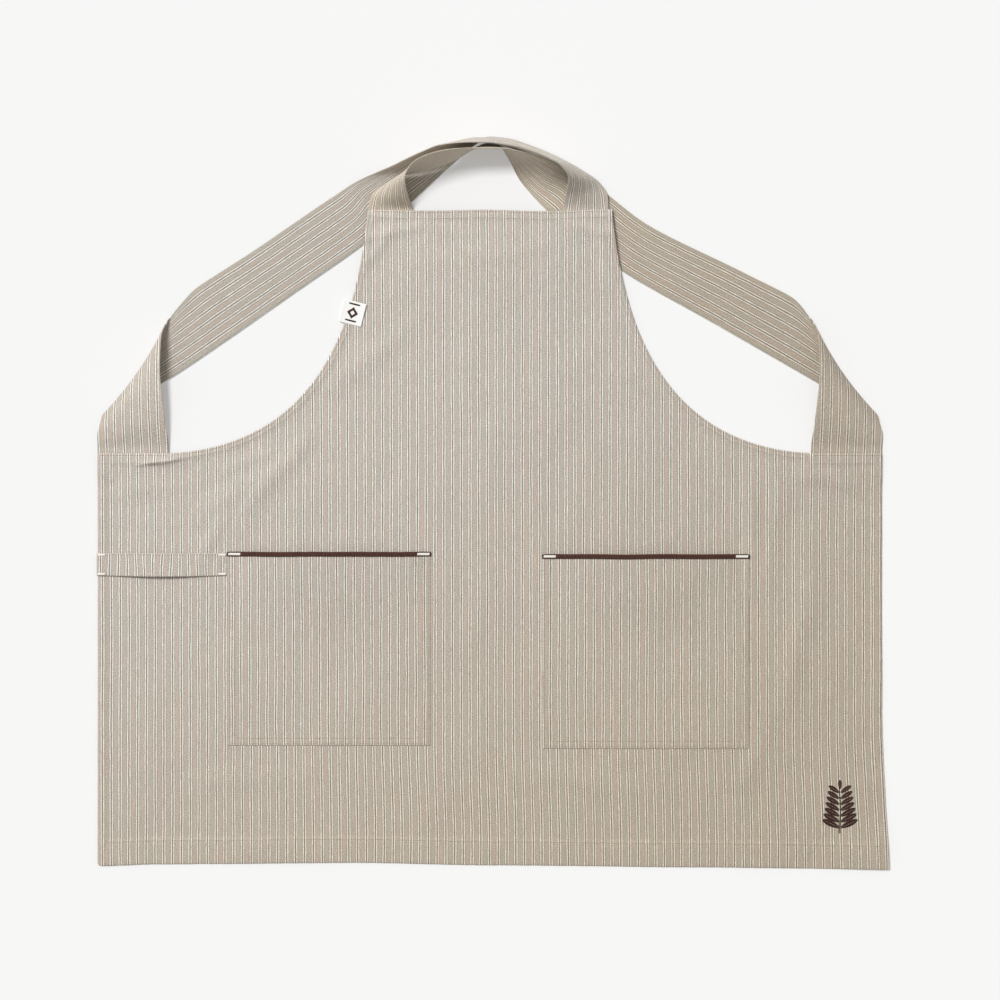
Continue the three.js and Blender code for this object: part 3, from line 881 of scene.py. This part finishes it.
class APRON_OT_hems(bpy.types.Operator):
    """Make the turned-under layer of every hem"""

    bl_idname = "apron.hems"
    bl_label = "Hems"

    def execute(self, context):
        material = striped_cotton()
        wrinkle = context.scene.apron_cloth.wrinkle
        top = hem_strip("bib_top_hem_fold", edge_path("top"), TOP_HEM, material, wrinkle)
        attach(top, "bib")
        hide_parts("bib_top_hem")
        bottom_line = edge_path("bottom")[2:-2]
        bottom = hem_strip("bottom_hem_fold", bottom_line, BOTTOM_HEM, material, wrinkle)
        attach(bottom, "skirt")
        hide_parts("bottom_hem")
        for name, side in (("left", -1), ("right", 1)):
            low, high = SKIRT_BOTTOM + BOTTOM_HEM + 6, HIP_Y - HIP_HEM - 0.6
            line = trimmed(edge_path("side", side), lambda x, y: low < y < high)
            edge = hem_strip(f"{name}_side_hem_fold", line, SIDE_HEM, material, wrinkle)
            across_fold(edge)
            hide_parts(f"{name}_side_hem", f"{name}_hip_side_hem")
            line = trimmed(edge_path("hip", side), lambda x, y: abs(x) < HALF_WIDTH - 2)
            hip = hem_strip(f"{name}_hip_hem_fold", line, HIP_HEM, material, wrinkle)
            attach(hip, "bib")
            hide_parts(f"{name}_hip_hem")
            line = trimmed(edge_path("armhole", side),
                           lambda x, y: y < BIB_TOP - TOP_HEM - 1 and abs(x) < HIP_X - 3)
            arm = hem_strip(f"{name}_armhole_hem_fold", line, ARMHOLE_HEM, material, wrinkle)
            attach(arm, "bib")
            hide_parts(f"{name}_armhole_hem")
        return {"FINISHED"}


class APRON_OT_hem_stitching(bpy.types.Operator):
    """Sew the hems: one row of stitches along each inner edge, two across the strap ends"""

    bl_idname = "apron.hem_stitching"
    bl_label = "Hem stitching"

    def execute(self, context):
        trim = context.scene.apron_trim
        wrinkle = context.scene.apron_cloth.wrinkle
        material = seam_thread()
        stitch, radius = trim.stitch / MM, trim.thread / MM / 2

        def height(x, y):
            return cloth_top(x, y, wrinkle)

        def on_bib(piece):
            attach(piece, "bib")

        def on_skirt(piece):
            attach(piece, "skirt")

        def sew(name, rows, place):
            made = []
            for path, inset in rows:
                made += stitch_row(offset_path(path, inset), height, stitch)
            piece = thread_mesh(name, made, radius, material)
            place(piece)

        sew("bottom_hem_stitching", [(edge_path("bottom")[3:-3], BOTTOM_HEM - SEAM_INSET)], on_skirt)
        line = edge_path("top")[2:-2]
        sew("bib_top_stitching", [(line, TOP_HEM - SEAM_INSET), (line, EDGE_INSET)], on_bib)
        for name, side in (("left", -1), ("right", 1)):
            line = trimmed(edge_path("side", side), lambda x, y: y > SKIRT_BOTTOM + 3 and y < HIP_Y - 2)
            sew(f"{name}_side_stitching", [(line, SIDE_HEM - SEAM_INSET)], across_fold)
            line = edge_path("hip", side)[1:-1]
            sew(f"{name}_hip_stitching", [(line, HIP_HEM - SEAM_INSET), (line, EDGE_INSET)], on_bib)
            line = edge_path("armhole", side)[2:-2]
            sew(f"{name}_armhole_stitching", [(line, ARMHOLE_HEM - SEAM_INSET), (line, 2.4)], on_bib)
        return {"FINISHED"}


# ---------------------------------------------------------------- straps
def strap_surface(stations):
    """surface(u, v) of a strap from its stations, as in the frame."""
    last = len(stations) - 1
    tracks = [[[(s[k] if k < len(s) else (0, 0, 0))[axis] for s in stations] for axis in range(3)]
              for k in range(3)]

    def surface_at(u, v):
        low, high, bow = ([smooth_value(values, u * last) for values in track] for track in tracks)
        bulge = 2 * v * (1 - v)
        return Vector([a * (1 - v) + b * v + c * bulge for a, b, c in zip(low, high, bow)])

    return surface_at, last


def strap_mesh(name, stations, material, seed):
    """A strap of two layers with rounded edges, lightly rippled, its stripes along its length."""
    surface_at, last = strap_surface(stations)
    rows, columns = last * 7, 24
    rise = 0.003

    def normal_at(u, v):
        along = surface_at(min(1, u + rise), v) - surface_at(max(0, u - rise), v)
        across = surface_at(u, min(1, v + rise)) - surface_at(u, max(0, v - rise))
        return along.cross(across).normalized()

    def cloth_width(station):
        neck = smooth(1 - station / 8)
        hip = smooth((station - last + 4.5) / 3.5)
        return STRAP_WIDTH + (NECK_WIDTH - STRAP_WIDTH) * neck + (HIP_WIDTH - STRAP_WIDTH) * hip

    # arc length along the middle gives the cloth its V
    travel = [0.0]
    for i in range(rows):
        travel.append(travel[-1] + (surface_at((i + 1) / rows, 0.5) - surface_at(i / rows, 0.5)).length)
    shares = [0.03 + 0.94 * j / (columns - 6) for j in range(columns - 5)]
    shares = [0, 0.004, 0.012] + shares + [0.988, 0.996, 1]
    points, uvs = [], []
    for level in (-1, 1):
        for i in range(rows + 1):
            u = i / rows
            for v in shares:
                middle, normal = surface_at(u, v), normal_at(u, v)
                rim = min(v, 1 - v) * STRAP_WIDTH
                half = STRAP_THICK / 2 * (0.25 + 0.75 * rounded(rim, 0.9))
                place = middle + normal * (level * half)
                if normal.z > 0.85 and level > 0:
                    place.z += 0.5 * max(0.0, noise.noise(Vector((place.x / 26, place.y / 26, seed))) + 0.3)
                points.append(tuple(place))
                across = (v - 1) * cloth_width(u * last) - 3.0
                upright = smooth((u * last - last + 6.0) / 0.9)
                across += (HIP_X + 1.8 - abs(place.x) - across) * upright
                uvs.append((across, travel[i]))
    width = len(shares)

    def at(level, i, j):
        return level * (rows + 1) * width + i * width + j

    faces = []
    for i in range(rows):
        for j in range(width - 1):
            faces.append((at(1, i, j), at(1, i + 1, j), at(1, i + 1, j + 1), at(1, i, j + 1)))
            faces.append((at(0, i, j + 1), at(0, i + 1, j + 1), at(0, i + 1, j), at(0, i, j)))
        faces.append((at(0, i, 0), at(0, i + 1, 0), at(1, i + 1, 0), at(1, i, 0)))
        faces.append((at(1, i, width - 1), at(1, i + 1, width - 1),
                      at(0, i + 1, width - 1), at(0, i, width - 1)))
    for j in range(width - 1):
        faces.append((at(0, 0, j + 1), at(0, 0, j), at(1, 0, j), at(1, 0, j + 1)))
        faces.append((at(0, rows, j), at(0, rows, j + 1), at(1, rows, j + 1), at(1, rows, j)))
    return finish_mesh(name, points, faces, uvs, material), travel[-1]


class APRON_OT_straps(bpy.types.Operator):
    """Make the two crossing straps, from the bib's corners round the neck to the opposite hips"""

    bl_idname = "apron.straps"
    bl_label = "Straps"

    def execute(self, context):
        mirrored = [tuple((-x, y, z) for x, y, z in station) for station in HIP_TURN]
        for name, stations, seed in (("right_strap", RIGHT_CORNER_NECK + mirrored, 1.5),
                                     ("left_strap", LEFT_CORNER_NECK + HIP_TURN, 6.5)):
            piece, length = strap_mesh(f"{name}_cloth", stations, striped_cotton(name), seed)
            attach(piece, "bib")
            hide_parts(name)
        return {"FINISHED"}


# ---------------------------------------------------------------- pockets
def pocket_gape(box_low, box_high, x, y):
    """How far a pocket's cloth stands off the panel."""
    middle, half = (box_low.x + box_high.x) / 2, (box_high.x - box_low.x) / 2
    f = min(1.0, abs(x - middle) / half)
    return POCKET_GAPE * (1 - f * f) * smooth((1 - f) * 5) * smooth(1 - (box_high.y - y) / GAPE_DEPTH)


def pocket_box(side):
    """The pocket's patch and binding together."""
    low, high = corners(f"{side}_pocket")
    return low, Vector((high.x, corners(f"{side}_pocket_binding")[1].y, high.z))


class APRON_OT_pockets(bpy.types.Operator):
    """Make the two patch pockets with their edges folded in, and sew them down with a double row"""

    bl_idname = "apron.pockets"
    bl_label = "Patch pockets"

    def execute(self, context):
        trim = context.scene.apron_trim
        wrinkle = context.scene.apron_cloth.wrinkle
        material, thread = striped_cotton(), seam_thread()
        for side, offset in (("left", 2.0), ("right", -2.4)):
            low, high = pocket_box(side)
            width, height = high.x - low.x, high.y - low.y

            def level(x, y):
                """Upper face of the pocket."""
                rim = min(x - low.x, high.x - x, y - low.y)
                fold = 1 - smooth((rim - 8.5) / 3.0)
                roll = rounded(rim, 1.3)
                stand = pocket_gape(low, high, x, y)
                bumps = 0.35 * (noise.noise(Vector((x / 40, y / 40, 21.0))) + 0.4) * smooth(rim / 20)
                body = 0.12 + (0.55 + 0.25 * fold + bumps) * roll
                dip = 0.25 * math.exp(-((rim - 2.2) / 1.0) ** 2) + 0.2 * math.exp(-((rim - 9.0) / 1.0) ** 2)
                return cloth_top(x, y, wrinkle) + LAYER_GAP + stand + max(0.1, body - dip)

            def place(u, v):
                x, y = low.x + u, low.y + v
                under = cloth_top(x, y, wrinkle) + LAYER_GAP + pocket_gape(low, high, x, y)
                return x, y, under, max(under + 0.2, level(x, y))

            def cloth(u, v):
                drift = 0.7 * noise.noise(Vector((u / 45, v / 60, offset)))
                return low.x + u + STRIPE_START + offset + drift, low.y + v

            fine = (0.3, 0.8, 1.4, 2.2, 3.2, 7.6, 9.0, 10.4, 12.0)
            us, vs = steps(0, width, 50, fine), steps(0, height - 1.2, 48, fine)
            patch = sheet_mesh(f"{side}_pocket_patch", us, vs, place, material, cloth)
            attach(patch, "skirt")
            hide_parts(f"{side}_pocket")
            made = []
            for inset in POCKET_ROWS:
                path = [(low.x + inset, high.y - 7 - 3 * i) for i in range(200)
                        if high.y - 7 - 3 * i > low.y + inset]
                path += [(low.x + inset, low.y + inset)]
                path += [(low.x + inset + i * 3, low.y + inset)
                         for i in range(1, int((width - 2 * inset) / 3))]
                path += [(high.x - inset, low.y + inset)]
                path += [(high.x - inset, low.y + inset + 3 * i) for i in range(1, 200)
                         if low.y + inset + 3 * i < high.y - 7]
                made += stitch_row(path, level, trim.stitch / MM)
            seam = thread_mesh(f"{side}_pocket_stitching", made, trim.thread / MM / 2, thread)
            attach(seam, "skirt")
        return {"FINISHED"}


class APRON_OT_bindings(bpy.types.Operator):
    """Wrap each pocket mouth in brown tape"""

    bl_idname = "apron.bindings"
    bl_label = "Pocket bindings"

    def execute(self, context):
        wrinkle = context.scene.apron_cloth.wrinkle
        material = ribbed_binding()
        for side, seed in (("left", 2.0), ("right", 8.0)):
            low, high = corners(f"{side}_pocket_binding")
            patch_low, patch_high = pocket_box(side)
            rows, ring = 120, 14
            points, faces, uvs = [], [], []
            for i in range(rows + 1):
                x = low.x + (high.x - low.x) * i / rows
                wave = 0.55 * noise.noise(Vector((x / 48, seed, 0)))
                wave += 0.2 * noise.noise(Vector((x / 13, seed, 4)))
                middle = (low.y + high.y) / 2 + wave
                end = min(1.0, min(i, rows - i) / 1.5)
                base = cloth_top(x, middle, wrinkle) + LAYER_GAP
                base += pocket_gape(patch_low, patch_high, x, middle)
                for k in range(ring):
                    turn = 2 * math.pi * k / ring
                    flat = math.copysign(abs(math.cos(turn)) ** 0.6, math.cos(turn))
                    tall = math.copysign(abs(math.sin(turn)) ** 0.7, math.sin(turn))
                    y = middle + flat * (high.y - low.y) / 2 * (0.8 + 0.2 * end)
                    z = base + 1.25 + tall * 1.05 * (0.55 + 0.45 * end)
                    points.append((x, y, z))
                    uvs.append((x, k * 1.1))
            for i in range(rows):
                for k in range(ring):
                    a, b = i * ring + k, i * ring + (k + 1) % ring
                    faces.append((a, a + ring, b + ring, b))
            faces.append(tuple(range(ring)))
            faces.append(tuple(rows * ring + k for k in reversed(range(ring))))
            tape = finish_mesh(f"{side}_pocket_tape", points, faces, uvs, material)
            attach(tape, "skirt")
            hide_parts(f"{side}_pocket_binding")
        return {"FINISHED"}


# ---------------------------------------------------------------- tacks
def tack_threads(low, high, base):
    """A dense bar of slightly slanting threads filling the box from low to high."""
    slant, arch = 0.55, 0.25
    count = max(6, round((high.x - low.x) / 0.62))
    made = []
    for i in range(count):
        x = low.x + (high.x - low.x) * (i + 0.5) / count
        z = base(x)
        made.append(((x - slant / 2, low.y, z), (x + slant / 2, high.y, z), arch))
    return made


class APRON_OT_tacks(bpy.types.Operator):
    """Sew the white bar tacks at the ends of the pocket mouths and the towel loop"""

    bl_idname = "apron.tacks"
    bl_label = "Bar tacks"

    def execute(self, context):
        wrinkle = context.scene.apron_cloth.wrinkle
        material = tack_thread()
        for node in sorted(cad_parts):
            if "tack" not in node:
                continue
            low, high = corners(node)
            middle = (low.y + high.y) / 2
            if node.startswith("loop"):
                def base(x):
                    return loop_top(x, middle, wrinkle) + 0.1
            else:
                side = node.split("_")[0]
                patch_low, patch_high = pocket_box(side)

                def base(x):
                    rise = pocket_gape(patch_low, patch_high, x, middle)
                    return cloth_top(x, middle, wrinkle) + LAYER_GAP + rise + 2.2
            bar = thread_mesh(f"{node}_bar", tack_threads(low, high, base), 0.42, material)
            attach(bar, "skirt")
            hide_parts(node)
        return {"FINISHED"}


# ---------------------------------------------------------------- towel loop
def loop_height(x, y):
    """How far the loop's cloth stands off the panel."""
    low, high = corners("towel_loop")
    u = min(1.0, max(0.0, (x - low.x) / (high.x - low.x)))
    droop = 0.8 + 0.2 * (high.y - y) / (high.y - low.y)
    return LOOP_STAND * math.sin(math.pi * smooth(u)) ** 1.2 * droop


def loop_top(x, y, wrinkle):
    panel = cloth_top(min(max(x, -HALF_WIDTH + 2), HALF_WIDTH), y, wrinkle)
    return panel + LAYER_GAP + loop_height(x, y) + LOOP_THICK


class APRON_OT_towel_loop(bpy.types.Operator):
    """Make the towel loop that stands off the left of the skirt, with its end stitching"""

    bl_idname = "apron.towel_loop"
    bl_label = "Towel loop"

    def execute(self, context):
        trim = context.scene.apron_trim
        wrinkle = context.scene.apron_cloth.wrinkle
        low, high = corners("towel_loop")
        width, height = high.x - low.x, high.y - low.y

        def outline(u, v):
            x = low.x + u - 1.0 * (1 - u / width)
            sag = 1.4 * math.sin(math.pi * u / width)
            return x, low.y + v - sag * (1 - v / height)

        def place(u, v):
            x, y = outline(u, v)
            rim = min(u, width - u, v, height - v)
            roll = rounded(rim, 1.2)
            top = loop_top(x, y, wrinkle)
            return x, y, top - 1.45, top - 1.2 + 1.2 * roll

        us, vs = steps(0, width, 60, (0.3, 0.7, 1.3, 2.2)), steps(0, height, 10, (0.3, 0.7, 1.3, 2.2))
        strip = sheet_mesh("towel_loop_strip", us, vs, place, striped_cotton(),
                           lambda u, v: (low.x + u + 4.6 + 0.7 * math.sin(v / 9 + u / 11)
                                         * math.sin(math.pi * u / width), low.y + v))
        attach(strip, "skirt")
        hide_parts("towel_loop")

        def level(x, y):
            return loop_top(x, y, wrinkle)

        made = []
        for x in (low.x + 6.5, high.x - 6.5):
            made += stitch_row([(x, low.y + 2), (x, high.y - 2)], level, trim.stitch / MM)
        made += stitch_row([(low.x + 2, high.y - 1.8), (high.x - 2, high.y - 1.8)], level, trim.stitch / MM)
        seam = thread_mesh("towel_loop_stitching", made, trim.thread / MM / 2, seam_thread())
        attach(seam, "skirt")
        return {"FINISHED"}


# ---------------------------------------------------------------- label and motif
class APRON_OT_label(bpy.types.Operator):
    """Make the woven side label with a plain diamond-and-bars mark"""

    bl_idname = "apron.label"
    bl_label = "Woven label"

    size: FloatProperty(name="Size", description="Side of the label", default=29 * MM, unit="LENGTH")
    turn: FloatProperty(name="Turn", description="How far the label is turned",
                        default=-0.25, subtype="ANGLE")
    slide: FloatProperty(name="Slide", description="How far the label is pulled in over the bib",
                         default=3.5 * MM, unit="LENGTH")

    def execute(self, context):
        wrinkle = context.scene.apron_cloth.wrinkle
        low, high = corners("woven_label")
        middle = (low + high) / 2 + Vector((self.slide / MM, 0, 0))
        half = self.size / MM / 2
        cos, sin = math.cos(self.turn), math.sin(self.turn)

        def spot(a, b):
            return middle.x + a * cos - b * sin, middle.y + a * sin + b * cos

        def floor(a, b):
            """The label lies on the bib at its inner edge and stands free past the armhole."""
            x, y = spot(a, b)
            on = cloth_top(-BIB_HALF + 2, y, wrinkle) + 0.3
            return on + 0.5 * (a / half) ** 2 + 0.4 * math.sin(b / half * 1.6) + 0.3

        def place(u, v):
            a, b = u - half, v - half
            x, y = spot(a, b)
            rim = min(u, 2 * half - u, v, 2 * half - v)
            roll = rounded(rim, 0.8)
            base = floor(a, b)
            return x, y, base, base + 0.25 + 0.65 * roll

        spread = steps(0, 2 * half, 18, (0.2, 0.5, 0.9, 1.5))
        tape = sheet_mesh("label_tape", spread, spread, place, label_tape(), lambda u, v: (u, v))
        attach(tape, "bib")
        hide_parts("woven_label")
        made = []

        def thread(a0, b0, a1, b1):
            (x0, y0), (x1, y1) = spot(a0, b0), spot(a1, b1)
            made.append(((x0, y0, floor(a0, b0) + 0.9), (x1, y1, floor(a1, b1) + 0.9), 0.12))

        reach = half * 0.5
        rows = 18
        for i in range(rows):
            b = reach * (2 * (i + 0.5) / rows - 1)
            a = reach - abs(b)
            gap = max(0.0, reach * 0.42 - abs(b))
            if gap > 0:
                thread(-a, b, -gap, b)
                thread(gap, b, a, b)
            else:
                thread(-a, b, a, b)
        for b in (-half * 0.72, half * 0.72):
            for line in range(3):
                thread(-reach, b + line * 0.55, reach, b + line * 0.55)
        mark = thread_mesh("label_mark", made, 0.46, motif_thread())
        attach(mark, "bib")
        return {"FINISHED"}


class APRON_OT_motif(bpy.types.Operator):
    """Embroider a generic leafy sprig near the bottom right corner"""

    bl_idname = "apron.motif"
    bl_label = "Embroidered sprig"

    def execute(self, context):
        wrinkle = context.scene.apron_cloth.wrinkle
        low, high = corners("hem_motif")
        middle = (low.x + high.x) / 2
        height = high.y - low.y
        made = []

        def satin(x0, y0, x1, y1, width):
            """A leaf filled with slanting satin stitches either side of its vein."""
            length = math.hypot(x1 - x0, y1 - y0)
            ux, uy = (x1 - x0) / length, (y1 - y0) / length
            count = max(4, round(length / 0.8))
            for i in range(count + 1):
                t = i / count
                half = width / 2 * math.sin(math.pi * min(1.0, 0.08 + 0.92 * t)) ** 0.7
                for side in (-1, 1):
                    cx, cy = x0 + ux * length * t, y0 + uy * length * t
                    lead = half * 0.55
                    ex, ey = cx - uy * side * half + ux * lead, cy + ux * side * half + uy * lead
                    z0, z1 = cloth_top(cx, cy, wrinkle), cloth_top(ex, ey, wrinkle)
                    made.append(((cx, cy, z0 + 0.05), (ex, ey, z1 + 0.05), 0.3))

        stem_top = low.y + height * 0.86
        for i in range(46):
            y = low.y + (stem_top - low.y) * i / 45
            x = middle + 0.8 * math.sin(y / 9)
            z = cloth_top(x, y, wrinkle)
            half = 1.3 - 0.7 * i / 45
            made.append(((x - half, y - 0.4, z), (x + half, y + 0.4, z), 0.4))
        pairs = 7
        for i in range(pairs):
            share = i / (pairs - 1)
            root = low.y + height * (0.1 + 0.66 * share)
            reach = (high.x - low.x) / 2 * (1.0 - 0.36 * share)
            for side in (-1, 1):
                up = height * (0.15 - 0.02 * share)
                satin(middle + side * 1.2, root, middle + side * reach, root + up, 7.6 - 1.8 * share)
        satin(middle, stem_top - 2, middle, high.y, 5.0)
        sprig = thread_mesh("hem_sprig", made, 0.36, motif_thread())
        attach(sprig, "skirt")
        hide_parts("hem_motif")
        return {"FINISHED"}


# ---------------------------------------------------------------- stage
class APRON_OT_stage(bpy.types.Operator):
    """Lay out the pale floor, the soft lights and the camera overhead"""

    bl_idname = "apron.stage"
    bl_label = "Stage"

    def execute(self, context):
        scene = context.scene
        stage = scene.apron_stage
        half = FLOOR_HALF
        mesh = bpy.data.meshes.new("floor")
        mesh.from_pydata([(-half, -half, -MM), (half, -half, -MM), (half, half, -MM), (-half, half, -MM)],
                         [], [(0, 1, 2, 3)])
        floor = bpy.data.objects.new("floor", mesh)
        scene.collection.objects.link(floor)
        material, tree = new_material("pale_paper_floor")
        grain = add(tree, "TexNoise", {"Scale": 3.0, "Detail": 2.0})[0]
        colour = add(tree, "Mix", {0: grain, 6: to_linear("#f7f7f7"), 7: to_linear("#f8f8f8")},
                     data_type="RGBA")[2]
        lit = add(tree, "BsdfPrincipled", {
            "Base Color": colour, "Roughness": 0.95, "Specular IOR Level": 0.0})
        glow = add(tree, "Emission", {"Color": colour, "Strength": 1.0})
        both = add(tree, "MixShader", {0: stage.floor_glow, 1: lit[0], 2: glow[0]})
        add(tree, "OutputMaterial", {"Surface": both[0]})
        mesh.materials.append(material)

        world = bpy.data.worlds.new("soft_room")
        scene.world = world
        world.use_nodes = True
        background = world.node_tree.nodes["Background"]
        background.inputs[0].default_value = (1.0, 0.995, 0.98, 1.0)
        background.inputs[1].default_value = 1.0 - stage.key

        # The floor has an even light of its own; the soft box beside the table falls off over the apron.
        only_floor = bpy.data.collections.new("floor_only")
        only_floor.objects.link(floor)
        all_but_floor = bpy.data.collections.new("all_but_floor")
        all_but_floor.objects.link(floor)
        all_but_floor.collection_objects[0].light_linking.link_state = "EXCLUDE"

        lamp = bpy.data.lights.new("floor_light", "SUN")
        lean = math.radians(24)
        lamp.energy = stage.key * math.pi / math.cos(lean)
        lamp.angle = math.radians(15)
        even = bpy.data.objects.new("floor_light", lamp)
        aim = Vector((0.72, -0.69, 0)).normalized() * math.sin(lean) + Vector((0, 0, -math.cos(lean)))
        even.rotation_euler = aim.to_track_quat("-Z", "Y").to_euler()
        even.light_linking.receiver_collection = only_floor
        scene.collection.objects.link(even)

        lamp = bpy.data.lights.new("soft_box", "AREA")
        lamp.shape = "SQUARE"
        lamp.size = 1.3
        place = Vector((-1.7, 2.1, 2.9))
        lamp.color = (0.99, 1.0, 1.01)
        lamp.energy = stage.key * 4 * math.pi * place.length ** 2 * place.length / place.z * 0.8
        box = bpy.data.objects.new("soft_box", lamp)
        box.location = place
        box.rotation_euler = (Vector((0.1, -0.1, 0)) - place).to_track_quat("-Z", "Y").to_euler()
        box.light_linking.receiver_collection = all_but_floor
        scene.collection.objects.link(box)

        lens = bpy.data.cameras.new("camera")
        lens.sensor_width = 36.0
        lens.lens = 36.0 * stage.camera_height / stage.view_width
        camera = bpy.data.objects.new("camera", lens)
        camera.location = (0.0125, 0.0025, stage.camera_height)
        scene.collection.objects.link(camera)
        scene.camera = camera
        scene.view_settings.view_transform = "Standard"
        return {"FINISHED"}


# ---------------------------------------------------------------- panel
MAKERS = (APRON_OT_stage, APRON_OT_front, APRON_OT_hems, APRON_OT_hem_stitching, APRON_OT_straps,
          APRON_OT_pockets, APRON_OT_bindings, APRON_OT_towel_loop, APRON_OT_tacks, APRON_OT_label,
          APRON_OT_motif)


class APRON_PT_sidebar(bpy.types.Panel):
    """Lists the makers and their settings"""

    bl_label = "Work apron"
    bl_idname = "APRON_PT_sidebar"
    bl_space_type = "VIEW_3D"
    bl_region_type = "UI"
    bl_category = "Apron"

    def draw(self, context):
        for maker in MAKERS:
            self.layout.operator(maker.bl_idname)
        for group in (context.scene.apron_cloth, context.scene.apron_trim, context.scene.apron_stage):
            for name in group.bl_rna.properties.keys():
                if name not in ("rna_type", "name"):
                    self.layout.prop(group, name)


SETTINGS = (ApronClothSettings, ApronTrimSettings, ApronStageSettings)
CLASSES = SETTINGS + MAKERS + (APRON_PT_sidebar,)


def register():
    for cls in CLASSES:
        bpy.utils.register_class(cls)
    bpy.types.Scene.apron_cloth = PointerProperty(type=ApronClothSettings)
    bpy.types.Scene.apron_trim = PointerProperty(type=ApronTrimSettings)
    bpy.types.Scene.apron_stage = PointerProperty(type=ApronStageSettings)


def unregister():
    del bpy.types.Scene.apron_cloth, bpy.types.Scene.apron_trim, bpy.types.Scene.apron_stage
    for cls in reversed(CLASSES):
        bpy.utils.unregister_class(cls)


def main():
    register()
    for maker in MAKERS:
        group, name = maker.bl_idname.split(".")
        getattr(getattr(bpy.ops, group), name)()


if __name__ == "__main__":
    main()
